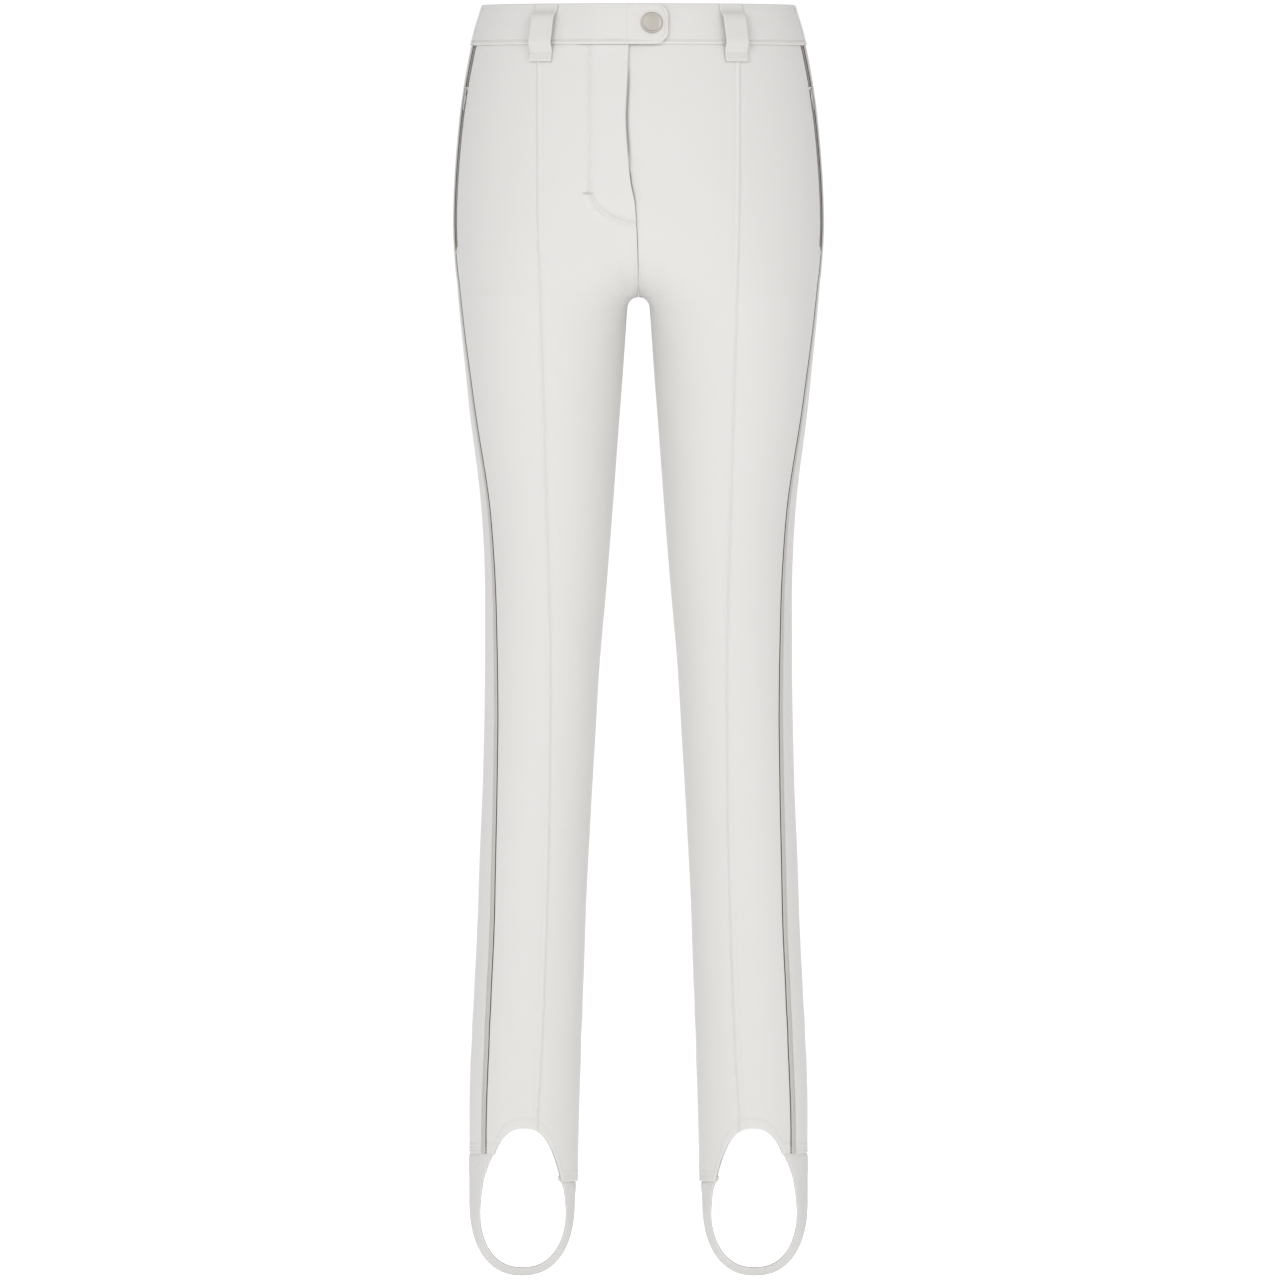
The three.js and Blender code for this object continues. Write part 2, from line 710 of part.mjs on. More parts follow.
function trackPoint(track, drop, across, lift) {
  const c = Math.cos(track.lean);
  const s = Math.sin(track.lean);
  return track.centre.clone()
    .addScaledVector(radial(track, drop), track.radius + lift * c - across * s)
    .addScaledVector(track.sideways, across * c + lift * s);
}

function strip(track, top, bottom, inner, outer, low, high) {
  const steps = 6;
  return sheet(1, steps, (i, j, face) => trackPoint(
    track, THREE.MathUtils.lerp(top, bottom, j / steps), i ? outer : inner, face ? high : low));
}

// A group standing on the track at one drop: X across, Y up along the zip, Z out of the cloth.
function trackFrame(track, drop, lift) {
  const out = radial(track, drop).multiplyScalar(Math.cos(track.lean))
    .addScaledVector(track.sideways, Math.sin(track.lean));
  const along = radial(track, drop - 1).sub(radial(track, drop + 1)).normalize();
  const across = new THREE.Vector3().crossVectors(along, out);
  const group = new THREE.Group();
  const basis = new THREE.Matrix4().makeBasis(across, along, out);
  group.quaternion.setFromRotationMatrix(basis);
  group.position.copy(trackPoint(track, drop, 0, lift));
  return group;
}

const halfTeeth = teethThick / 2;
const plateAt = halfTeeth + plateGap + plateThick / 2;

const pinFrom = sliderLength / 2 - pinBack; // along the slider, from its middle

// Height of the pull tab's pin above the middle of the teeth
function pinAt(pullTab) {
  return plateAt + plateThick / 2 + pullTab.pinHeight;
}

function sliderBody(pullTab) {
  const plate = (side) => box(sliderWidth, sliderLength, plateThick, 0, 0, side * plateAt);
  const postLength = sliderLength - 2 * pinBack + cheekLength / 2;
  const post = box(postWidth, postLength, 2 * plateAt, 0, (sliderLength - postLength) / 2, 0);
  const cheekHeight = pullTab.pinHeight + pinRadius + plateThick / 2;
  const cheekAt = pullNeck / 2 + plateGap + cheekThick / 2;
  const cheek = (side) => box(
    cheekThick, cheekLength, cheekHeight, side * cheekAt, pinFrom, plateAt + cheekHeight / 2);
  const pin = new THREE.CylinderGeometry(pinRadius, pinRadius, 2 * cheekAt, 12)
    .rotateZ(Math.PI / 2).translate(0, pinFrom, pinAt(pullTab));
  return join(plate(1), plate(-1), post, cheek(1), cheek(-1), pin);
}

function pullBlade(length) {
  const eye = new THREE.CylinderGeometry(eyeRadius, eyeRadius, pullNeck, 16).rotateZ(Math.PI / 2);
  const bore = new THREE.CylinderGeometry(eyeBore, eyeBore, pullNeck * 2, 16).rotateZ(Math.PI / 2);
  const neckLength = pinBack + sliderLength / 2;
  const neck = box(pullNeck, neckLength, pullThick, 0, -neckLength / 2, 0);
  const bladeLength = length - neckLength + pullThick;
  const blade = box(pullWidth, bladeLength, pullThick, 0, -length + bladeLength / 2, 0);
  return cut(join(eye, neck, blade), bore);
}

function addZip(name, sides, track, range, tapeTop, pullTab) {
  const { top, bottom, parked } = range;
  const inner = teethGap / 2;
  const outer = inner + teethWidth;
  const tapeStart = outer + seamGap / 2;
  [1, -1].forEach((side, i) => {
    add(`${name}_tape_${sides[i]}`, strip(track, tapeTop, bottom + tapeBelow, side * tapeStart,
      side * (tapeStart + tapeWidth), -tapeThick / 2, tapeThick / 2), tapeCloth);
    add(`${name}_teeth_${sides[i]}`, strip(track, top + stopLength, bottom - stopLength, side * inner,
      side * outer, -halfTeeth, halfTeeth), steel);
  });
  const solidStop = stopLength - 2 * seamGap;
  const stops = { top: top + solidStop / 2, bottom: bottom - solidStop / 2 };
  Object.entries(stops).forEach(([end, drop]) => {
    const frame = trackFrame(track, drop, 0);
    pants.add(frame);
    add(`${name}_${end}_stop`, box(2 * outer, solidStop, teethThick), steel, frame);
  });
  const frame = trackFrame(track, parked, 0);
  pants.add(frame);
  add(`${name}_slider`, sliderBody(pullTab), steel, frame);
  const pull = add(`${name}_pull`, pullBlade(pullTab.length), steel, frame);
  pull.position.set(0, pinFrom, pinAt(pullTab));
}

// ---- Pockets ----------------------------------------------------------------------------------

const pocketZipForward = pipingRoom + slotWidth / 2; // from the outer seam to the zip's centre line
const tapeCheckStep = 4; // drop between the places looked at
const pocketTapeGap = 0.9; // behind the panels, where the flat tapes come nearest to the round hip

function pocketTrack(mirrored, depth) {
  const points = [pocketTop, (pocketTop + pocketBottom) / 2, pocketBottom].map((drop) => {
    const angle = shifted(seamAngle(drop), drop, pocketZipForward);
    return onSkin(angle, drop, -depth);
  });
  const forward = points.reduce((sum, p) => sum + p.y / points.length, 0);
  points.forEach((p) => p.setY(forward));
  const middle = (pocketTop + pocketBottom) / 2;
  const normal = skinNormal(shifted(seamAngle(middle), middle, pocketZipForward), middle);
  const side = mirrored ? -1 : 1;
  points.forEach((p) => p.setX(side * p.x));
  const lean = Math.atan2(-normal.y, normal.x);
  return zipTrack(points, new THREE.Vector3(side, 0, 0), new THREE.Vector3(0, -1, 0), lean);
}

// How far flat tapes laid at the panels' inner face would stand out of it
function tapeProud() {
  const track = pocketTrack(false, fabric + tapeThick / 2);
  let proud = 0;
  for (let drop = bandHeight + zipHigh; drop <= pocketBottom + tapeBelow; drop += tapeCheckStep) {
    for (const across of [-teethGap / 2 - tapeWidth, teethGap / 2 + tapeWidth]) {
      const angle = shifted(seamAngle(drop), drop, pocketZipForward + across);
      const out = trackPoint(track, drop, across, tapeThick / 2).sub(onSkin(angle, drop, -fabric));
      proud = Math.max(proud, out.dot(skinNormal(angle, drop)));
    }
  }
  return proud;
}

// Middle of the pocket zip's teeth below the face
const pocketDepth = fabric + tapeThick / 2 + tapeProud() + pocketTapeGap;

const bagLift = -(pocketDepth + plateAt + plateThick / 2 + bagRoom);

function pocketBag(mirrored) {
  const columns = 4;
  const rows = 6;
  const top = bandHeight + bagSeam;
  return sheet(columns, rows, (i, j, face) => {
    const bottom = bagBottom - bagRound * Math.abs(i / columns - 0.5);
    const drop = THREE.MathUtils.lerp(top, bottom, j / rows);
    const reach = bagSeam - pipingRoom + (bagReach * i) / columns;
    const angle = shifted(seamAngle(Math.min(drop, seamTurn)), drop, reach);
    return onSkin(angle, drop, bagLift - (face ? 0 : bagThick), mirrored);
  });
}

function addPocket(side, mirrored) {
  const track = pocketTrack(mirrored, pocketDepth);
  const range = { top: pocketTop, bottom: pocketBottom - zipHigh, parked: pocketSliderAt };
  const sides = ['front', 'back'];
  addZip(`${side}_pocket`, sides, track, range, bandHeight + zipHigh, pocketPull);
  add(`${side}_pocket_bag`, pocketBag(mirrored), lining);
  return track;
}

// ---- Fly --------------------------------------------------------------------------------------

const flyFacingBack = -fabric - looseGap - facingThick; // its inner face, off the skin
// Middle of the fly zip's teeth below the face
const flyDepth = -flyFacingBack + looseGap + pinAt(flyPull) + eyeRadius;
const shieldAt = -(flyDepth + plateAt + plateThick / 2 + shieldRoom);

function flyTrack() {
  const ends = { top: bandHeight + zipHigh, bottom: flyLength - zipShort };
  const drops = [ends.top, (ends.top + ends.bottom) / 2, ends.bottom];
  const points = drops.map((drop) => onSkin(angleAtX(flyZipAt, drop), drop, -flyDepth, true));
  points.forEach((p) => p.setX(-flyZipAt));
  return zipTrack(points, new THREE.Vector3(0, -1, 0), new THREE.Vector3(1, 0, 0), 0);
}

// The facing ends in the same curve as the topstitching, which runs back to the centre seam.
function flyFacing() {
  const columns = 5;
  const rows = 8;
  return sheet(columns, rows, (i, j, face) => {
    const share = i / columns;
    const bottom = flyLength + flyCurve * (1 - share ** 2);
    const drop = THREE.MathUtils.lerp(bandHeight + looseGap, bottom, j / rows);
    const x = THREE.MathUtils.lerp(flyUnderlap + looseGap, flyStitch, share);
    return onSkin(angleAtX(x, drop), drop, flyFacingBack + (face ? facingThick : 0), true);
  });
}

function flyShield() {
  const columns = 4;
  const rows = 6;
  return sheet(columns, rows, (i, j, face) => {
    const drop = THREE.MathUtils.lerp(bandHeight + looseGap, flyLength + shieldBelow, j / rows);
    const x = flyZipAt + shieldReach - (i / columns) * 2 * shieldReach;
    return onSkin(angleAtX(x, drop), drop, shieldAt - (face ? 0 : shieldThick), true);
  });
}

function addFly() {
  const track = flyTrack();
  const range = { top: bandHeight + zipHigh, bottom: flyLength - zipShort, parked: flySliderAt };
  addZip('fly', ['left', 'right'], track, range, bandHeight + looseGap, flyPull);
  add('fly_facing', flyFacing(), lining);
  add('fly_shield', flyShield(), lining);
  return track;
}

// ---- Stirrups ---------------------------------------------------------------------------------

const strapCentre = (hemSide + hemInner) / 2 + strapInset;
const strapReach = hemSide - strapCentre + strapProud;
const strapTurnDrop = hemDrop + strapShoulder;

// The strap's middle line, from 0 at the outer seam to 1 at the inner seam, and its outward normal.
function strapLine(share) {
  const power = 2 / strapRound;
  const innerStart = 1 - strapInnerShare;
  if (share < strapOuterShare) {
    const drop = THREE.MathUtils.lerp(hemDrop, strapTurnDrop, share / strapOuterShare);
    return new THREE.Vector3(strapCentre + strapReach, 0, -drop);
  }
  if (share > innerStart) {
    const rise = (share - innerStart) / strapInnerShare;
    const drop = THREE.MathUtils.lerp(strapTurnDrop, innerHemDrop, rise);
    return new THREE.Vector3(strapCentre - strapReach - strapInset * rise, 0, -drop);
  }
  const turn = ((share - strapOuterShare) / (innerStart - strapOuterShare)) * Math.PI;
  const x = Math.sign(Math.cos(turn)) * Math.abs(Math.cos(turn)) ** power;
  const z = Math.sin(turn) ** power;
  return new THREE.Vector3(strapCentre + strapReach * x, 0, -strapTurnDrop - strapDepth * z);
}

function strapNormal(share) {
  const nudge = 0.004;
  const before = strapLine(Math.max(share - nudge, 0));
  const after = strapLine(Math.min(share + nudge, 1));
  const along = after.sub(before).normalize();
  return new THREE.Vector3(-along.z, 0, along.x);
}

const strapAxis = { outer: strapLine(0), inner: strapLine(1) };

// Room below the seam for the strap's end to swing: it widens no faster than the swing allows.
function strapHalfAt(point, share) {
  const axisDrop = THREE.MathUtils.lerp(-strapAxis.outer.z, -strapAxis.inner.z, share < 0.5 ? 0 : 1);
  const below = -point.z - axisDrop;
  const open = (below - strapEndGap) / Math.tan(strapSwing * radians) + strapEndHalf;
  const turned = ramp(-point.z, strapTurnDrop, strapTurnDrop + strapDepth);
  const plain = THREE.MathUtils.lerp(strapHalf, strapSoleHalf, turned);
  return Math.min(open, plain);
}

function stirrup(mirrored) {
  const columns = 5;
  const rows = 25;
  const curl = (across) => strapReach * (1 - Math.sqrt(1 - (across / ankleDepth) ** 2));
  return sheet(columns, rows, (i, j, face) => {
    const share = THREE.MathUtils.lerp(strapEndShare, 1 - strapEndShare, j / rows);
    const point = strapLine(share);
    const across = (2 * (i / columns) - 1) * strapHalfAt(point, share);
    const lift = -curl(across) - (face ? 0 : strapThick);
    point.addScaledVector(strapNormal(share), lift);
    point.y = across;
    if (mirrored) point.x = -point.x;
    return point;
  });
}

// ---- The whole garment ------------------------------------------------------------------------

function backLabel() {
  const halfWidth = 20;
  const label = { top: 8, bottom: 30, thick: 0.5 };
  const columns = 4;
  const outer = facingOuter - facingThick - looseGap;
  return sheet(columns, 1, (i, j, face) => {
    const drop = j ? label.bottom : label.top;
    const x = (2 * (i / columns) - 1) * halfWidth;
    const angle = angleAtX(Math.abs(x), drop, true);
    return onSkin(angle, drop, outer - (face ? 0 : label.thick), x < 0);
  });
}

addPanels('left', false);
addPanels('right', true);

const snap = snapFrame();
pants.add(snap);
const rivetHole = snapHole(snap, rivetRadius + holeSlack);
add('waistband_left', cut(bandPiece('band', false), rivetHole), cloth);
add('waistband_right', bandPiece('band', true), cloth);
add('waistband_back', backStretch(0, bandHeight, bandProud, bandThick), cloth);
add('waistband_facing_left', cut(bandPiece('facing', false), rivetHole), lining);
add('waistband_facing_right', bandPiece('facing', true), lining);
add('waistband_facing_back', backStretch(facingTop, bandHeight, facingOuter, facingThick), lining);
add('waistband_tab', cut(tabPiece(), snapHole(snap, shankRadius + holeSlack)), cloth);
add('back_label', backLabel(), lining);
addSnap(snap);

add('belt_loop_front_left', beltLoop(frontLoopAt, frontLoopSlant, false, false), clothWarm);
add('belt_loop_front_right', beltLoop(frontLoopAt, frontLoopSlant, false, true), clothWarm);
add('belt_loop_back_left', beltLoop(backLoopAt, 0, true, false), clothWarm);
add('belt_loop_back_right', beltLoop(backLoopAt, 0, true, true), clothWarm);
add('belt_loop_centre_back', beltLoop(0, 0, true, false), clothWarm);

const leftTrack = addPocket('left', false);
const rightTrack = addPocket('right', true);
const fly = addFly();
add('left_stirrup', stirrup(false), elastic);
add('right_stirrup', stirrup(true), elastic);

// Joint axes, for whoever poses the garment
pants.userData.axes = {
  leftPocket: leftTrack, rightPocket: rightTrack, fly, strap: strapAxis, tab: tabAxis(),
};

export default pants;
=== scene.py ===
"""Stirrup ski pants: makes the garment's cloth, stitching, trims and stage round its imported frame.

Shapes are worked out in millimetres, as the pattern is, and become metres where a mesh is made.
"Drop" is the distance below the waistband's top edge. Angle 0 is the outer side of the left leg,
90 its front, 180 the inner leg and -90 the back; the right half is the mirror of the left.
"""
import math

import bmesh
import bpy
import numpy as np
from mathutils import Matrix, Vector


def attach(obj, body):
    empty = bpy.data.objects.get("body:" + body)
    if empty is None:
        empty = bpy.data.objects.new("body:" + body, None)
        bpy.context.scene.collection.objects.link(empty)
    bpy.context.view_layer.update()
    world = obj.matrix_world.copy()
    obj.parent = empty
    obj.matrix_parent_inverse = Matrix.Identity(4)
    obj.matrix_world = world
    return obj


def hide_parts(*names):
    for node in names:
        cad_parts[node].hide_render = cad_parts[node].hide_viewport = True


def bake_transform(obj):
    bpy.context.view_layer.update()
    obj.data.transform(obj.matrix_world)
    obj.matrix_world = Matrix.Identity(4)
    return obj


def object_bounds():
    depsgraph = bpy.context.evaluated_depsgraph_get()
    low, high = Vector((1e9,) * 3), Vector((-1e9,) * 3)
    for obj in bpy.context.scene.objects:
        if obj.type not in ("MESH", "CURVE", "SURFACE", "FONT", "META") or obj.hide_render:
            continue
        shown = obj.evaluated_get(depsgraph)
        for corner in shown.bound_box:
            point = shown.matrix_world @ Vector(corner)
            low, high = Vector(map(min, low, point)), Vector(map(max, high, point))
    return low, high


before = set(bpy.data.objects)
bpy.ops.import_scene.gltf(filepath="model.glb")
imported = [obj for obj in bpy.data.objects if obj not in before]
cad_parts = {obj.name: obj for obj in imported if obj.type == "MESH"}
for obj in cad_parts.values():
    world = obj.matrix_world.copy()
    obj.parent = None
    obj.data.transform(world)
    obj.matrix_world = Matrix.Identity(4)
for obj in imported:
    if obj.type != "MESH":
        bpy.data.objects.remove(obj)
cad_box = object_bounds()

bl_info = {
    "name": "Stirrup Ski Pants",
    "version": (1, 0, 0),
    "blender": (4, 5, 0),
    "location": "View3D > Sidebar > Pants",
    "description": "Builds stirrup ski pants: panels, waistband, fly, pockets, piping and stirrups",
    "category": "Object",
}

MM = 0.001

# ---- Pattern sizes, in millimetres -------------------------------------------------------------

BAND_HEIGHT = 36.0
HIP_DROP = 190.0
CROTCH_DROP = 257.0
KNEE_DROP = CROTCH_DROP + 333.0
CALF_DROP = KNEE_DROP + 198.0
HEM_DROP = CALF_DROP + 222.0
INNER_HEM_DROP = HEM_DROP + 25.0
ANKLE_DROP = HEM_DROP - 110.0
HIGH_HIP = 102.0
UNDER_CROTCH = CROTCH_DROP + 85.0
MID_THIGH = CROTCH_DROP + 197.0
LOW_CALF = CALF_DROP + 159.0
ARCH_RADIUS = 9.0
CROTCH_SIDE = 8.8
CROTCH_EASE = 18.0
ARCH_TOP = 988.0
BACK_ARCH_LIFT = 3.0
ANKLE_DEPTH = 46.0

FABRIC = 1.6
BAND_THICK = 2.4
BAND_PROUD = 0.6
FACING = 1.0
SEAM_GAP = 0.3
LAYER_GAP = 0.3
LOOSE_GAP = 1.0

FLY_EDGE = 9.5
FLY_UNDERLAP = 14.0
FLY_STITCH = 43.0
FLY_LENGTH = 165.0
FLY_CURVE = 27.0
FLY_PROUD = 2.4
FLY_ZIP = 21.0
BAND_UNDERLAP = 35.0
TAB_LENGTH = 35.0
TAB_CORNER = 12.0
TAB_LIFT = BAND_THICK + 2.2
SNAP_AT = 11.5
SNAP_RADIUS = 9.25

LOOP_WIDTH = 21.5
LOOP_DROP = 51.0
LOOP_THICK = 2.0
BELT_ROOM = 5.8
FRONT_LOOP = 83.0
FRONT_LOOP_SLANT = 6.0
BACK_LOOP = 78.0

PIPING_WIDTH = 6.0
PIPING_SHOWN = 6.0
PIPING_ROOM = PIPING_WIDTH / 2 + SEAM_GAP
POCKET_TOP = 66.0
POCKET_BOTTOM = 214.0
SLOT_WIDTH = 9.6
POCKET_DEPTH = FABRIC + 1.95 + 0.4
TEETH_OUTER = 2.5
TEETH_INNER = 0.45
TAPE_WIDTH = 7.0


def profile(*pairs):
    """A smooth curve through (drop, value) pairs."""
    drops = np.array([p[0] for p in pairs], float)
    values = np.array([p[1] for p in pairs], float)
    after = np.append(np.arange(1, len(pairs)), len(pairs) - 1)
    before = np.insert(np.arange(len(pairs) - 1), 0, 0)
    slopes = (values[after] - values[before]) / (drops[after] - drops[before])

    def curve(drop):
        d = np.clip(np.asarray(drop, float), drops[0], drops[-1])
        i = np.clip(np.searchsorted(drops, d, side="right") - 1, 0, len(drops) - 2)
        span = drops[i + 1] - drops[i]
        t = (d - drops[i]) / span
        keep = 2 * t**3 - 3 * t**2 + 1
        pull = (t**3 - 2 * t**2 + t) * span * slopes[i]
        push = (t**3 - t**2) * span * slopes[i + 1]
        return keep * values[i] + pull + (1 - keep) * values[i + 1] + push

    return curve


outer_side = profile(
    (0, 137.5), (BAND_HEIGHT, 147.5), (HIGH_HIP, 158), (HIP_DROP, 163.3), (CROTCH_DROP, 159),
    (UNDER_CROTCH, 150.5), (MID_THIGH, 137.5), (KNEE_DROP, 135), (CALF_DROP, 141),
    (LOW_CALF, 148.3), (HEM_DROP, 148.7),
)
inner_side = profile(
    (CROTCH_DROP, CROTCH_SIDE), (UNDER_CROTCH, 15.2), (MID_THIGH, 23.3), (KNEE_DROP, 34.5),
    (CALF_DROP, 45.8), (LOW_CALF, 51.5), (HEM_DROP, 53.2),
)
front_depth = profile(
    (0, 90), (BAND_HEIGHT, 94), (HIGH_HIP, 99), (HIP_DROP, 98), (CROTCH_DROP, 92),
    (UNDER_CROTCH, 82), (MID_THIGH, 70), (KNEE_DROP, 60), (CALF_DROP, 50),
    (LOW_CALF, ANKLE_DEPTH), (HEM_DROP, ANKLE_DEPTH),
)
back_depth = profile(
    (0, 88), (BAND_HEIGHT, 94), (HIGH_HIP, 110), (HIP_DROP, 124), (CROTCH_DROP, 112),
    (UNDER_CROTCH, 88), (MID_THIGH, 72), (KNEE_DROP, 56), (CALF_DROP, 62),
    (LOW_CALF, ANKLE_DEPTH + 3), (HEM_DROP, ANKLE_DEPTH),
)
front_centre = profile((0, 0), (HIGH_HIP, 22), (HIP_DROP, 55), (CROTCH_DROP, 82))
crease_at = profile(
    (0, 88), (HIP_DROP, 87.5), (MID_THIGH, 80.5), (KNEE_DROP, 78), (CALF_DROP, 81), (HEM_DROP, 89.5)
)
seam_forward = profile(
    (0, 15), (POCKET_BOTTOM - 14, 15), (UNDER_CROTCH, 28), (KNEE_DROP - 30, 35), (HEM_DROP, 31)
)


def ramp(value, start, end):
    t = np.clip((np.asarray(value, float) - start) / (end - start), 0, 1)
    return t * t * (3 - 2 * t)


# ---- The body's surface ------------------------------------------------------------------------


def section(drop, at_back):
    """Outer edge, middle, inner edge and depth of the half body at each drop."""
    outer = outer_side(drop)
    depth = np.where(at_back, back_depth(drop), front_depth(drop))
    above = CROTCH_DROP - drop
    eased = (above + np.sqrt(above**2 + CROTCH_EASE**2)) / 2
    inner = inner_side(drop) - eased**1.15 * np.where(at_back, 0.7, 1.0)
    settled = ramp(drop, CROTCH_DROP, UNDER_CROTCH)
    middle = (outer + inner_side(drop)) / 2
    leg_centre = front_centre(CROTCH_DROP) * (1 - settled) + middle * settled
    centre = np.where(above > 0, front_centre(drop), leg_centre)
    return outer, centre, inner, depth


def crotch_edge(drop, at_back):
    """Where the inner leg's edge really lies: the two legs part in a small round arch."""
    above = np.clip(CROTCH_DROP - drop, 0, None) ** 1.15 * np.where(at_back, 0.7, 1.0)
    below = np.clip((drop - CROTCH_DROP) / ARCH_RADIUS, 0, 1)
    return np.where(drop < CROTCH_DROP, -above, inner_side(drop) * np.sqrt(1 - (1 - below) ** 2))


def skin(angle, drop):
    angle, drop = np.broadcast_arrays(np.asarray(angle, float), np.asarray(drop, float))
    outer, centre, inner, depth = section(drop, angle < 0)
    turn = np.cos(np.radians(angle))
    reach = np.where(turn < 0, centre - inner, outer - centre)
    x = centre + reach * turn
    near_seam = np.exp(-(((180 - np.abs(angle)) / 32) ** 2)) * ramp(drop, CROTCH_DROP - 60, CROTCH_DROP - 10)
    x = x + near_seam * (crotch_edge(drop, angle < 0) - inner)
    y = -depth * np.sin(np.radians(angle))
    return np.stack([x, y, -drop], axis=-1)


def normal(angle, drop):
    """The outward direction, eased over a few millimetres so that seams don't kink."""
    round_leg = skin(angle + 2.0, drop) - skin(angle - 2.0, drop)
    down = skin(angle, drop + 3.0) - skin(angle, drop - 3.0)
    n = np.cross(round_leg, down)
    return n / np.linalg.norm(n, axis=-1, keepdims=True)


def relief(points):
    """Soft folds of worn cloth, in millimetres off the smooth surface."""
    x, y, drop = np.abs(points[..., 0]), points[..., 1], -points[..., 2]
    side = np.sign(points[..., 0] + 0.001)
    calm = ramp(drop, 60, 130) * (1 - ramp(drop, 915, 970))
    pocket = (x > 120) & (np.abs(y + 22) < 26) & (drop < 240)
    calm = np.where(pocket, calm * 0.15, calm)
    waves = 0.3 * np.sin(x / 27 + drop / 71 + side) * np.sin(y / 23 - drop / 47 + 1.3)
    waves += 0.15 * np.sin(x / 14 - drop / 33 + 0.7 * side) * np.sin(y / 19 + drop / 29)
    front = 1 - ramp(y, -60, -20)
    far = np.hypot(x, drop - 262)
    fan = np.arctan2(x, np.abs(drop - 262) + 1)
    crotch = 0.5 * np.exp(-((far / 75) ** 2)) * np.sin(9 * fan + 0.6) * ramp(far, 6, 26)
    thigh = 0.25 * np.exp(-(((drop - 315) / 45) ** 2)) * np.exp(-((x - 20) / 40) ** 2)
    thigh = thigh * np.sin(drop / 8.5 + x / 15)
    behind = ramp(y, 5, 35)
    knee = 0.9 * np.exp(-(((drop - 605) / 62) ** 2)) * np.sin(drop / 8.2 + x / 21 + 1.1 * side)
    seat = 0.9 * np.exp(-(((drop - 292) / 26) ** 2)) * np.sin((drop - 250) / 8.0 + x / 40)
    ankle = 0.2 * np.exp(-(((drop - 900) / 40) ** 2)) * np.sin(drop / 6.5 + x / 17)
    shin = 0.2 * np.exp(-(((drop - 600) / 60) ** 2)) * np.sin(drop / 10 + x / 30)
    folds = waves + front * (crotch + thigh + shin) + behind * (knee + seat) + ankle
    return folds * calm


def on_skin(angle, drop, lift, mirrored=False, worn=True):
    points = skin(angle, drop)
    extra = relief(points) if worn else 0.0
    points = points + normal(angle, drop) * (np.asarray(lift, float) + extra)[..., None]
    if mirrored:
        points = points * np.array([-1.0, 1.0, 1.0])
    return points


def angle_at_x(x, drop, at_back=False):
    outer, centre, inner, _ = section(np.asarray(drop, float), at_back)
    reach = np.where(x < centre, centre - inner, outer - centre)
    angle = np.degrees(np.arccos(np.clip((x - centre) / reach, -1, 1)))
    return -angle if at_back else angle


def shifted(angle, drop, distance):
    run = skin(angle + 0.5, drop) - skin(angle - 0.5, drop)
    return angle + distance / np.linalg.norm(run, axis=-1)


def seam_angle(drop):
    return np.degrees(np.arcsin(seam_forward(drop) / front_depth(drop)))


def crease_angle(drop):
    return angle_at_x(crease_at(drop), drop)


def middle_angle(drop, edge, at_back):
    """The centre seam above the crotch and the inner leg seam below it."""
    if drop >= CROTCH_DROP:
        return -180.0 if at_back else 180.0
    sweep = np.linspace(180, 60, 481) * (-1 if at_back else 1)
    return float(np.interp(edge, skin(sweep, drop)[..., 0], sweep))


def hem_at(angle):
    turned = np.abs(angle)
    top = ARCH_TOP - np.where(np.asarray(angle) < 0, BACK_ARCH_LIFT, 0.0)
    arch = top + 12 * (np.abs(turned - 90) / 26.7) ** 2.5
    return np.minimum(arch, np.where(turned < 90, HEM_DROP, INNER_HEM_DROP))


def hemmed(angle, drop):
    share = np.clip((drop - ANKLE_DROP) / (INNER_HEM_DROP - ANKLE_DROP), 0, None)
    return np.where(drop <= ANKLE_DROP, drop, ANKLE_DROP + share * (hem_at(angle) - ANKLE_DROP))


right_fly_edge = profile(
    (0, 8.5), (BAND_HEIGHT, 8.5), (70, 10), (102, 11.3), (128, 9.8), (157, 7), (174, 3.6),
    (FLY_LENGTH + FLY_CURVE, 1.9), (225, 0.6), (CROTCH_DROP - 8, 0),
)


def left_fly_edge(drop):
    underlap = (FLY_UNDERLAP - FLY_EDGE + SEAM_GAP) * (1 - ramp(drop, FLY_LENGTH - 35, FLY_LENGTH - 15))
    gap = SEAM_GAP * (1 - 0.85 * ramp(drop, FLY_LENGTH - 15, FLY_LENGTH + 10))
    return gap - right_fly_edge(drop) - underlap


def fly_lift(x, drop):
    across = 1 - ramp(x, FLY_STITCH - 8, FLY_STITCH + 6)
    return FLY_PROUD * across * (1 - ramp(drop, FLY_LENGTH, FLY_LENGTH + FLY_CURVE))


def left_front_lift(x, drop):
    """The left front sinks a little along the fly's free edge, which leaves a dark line there."""
    shown = ramp(drop, 50, 75) * (1 - ramp(drop, 120, 150))
    return -3.6 * shown * np.exp(-(((x + right_fly_edge(drop) - 0.7) / 1.2) ** 2))


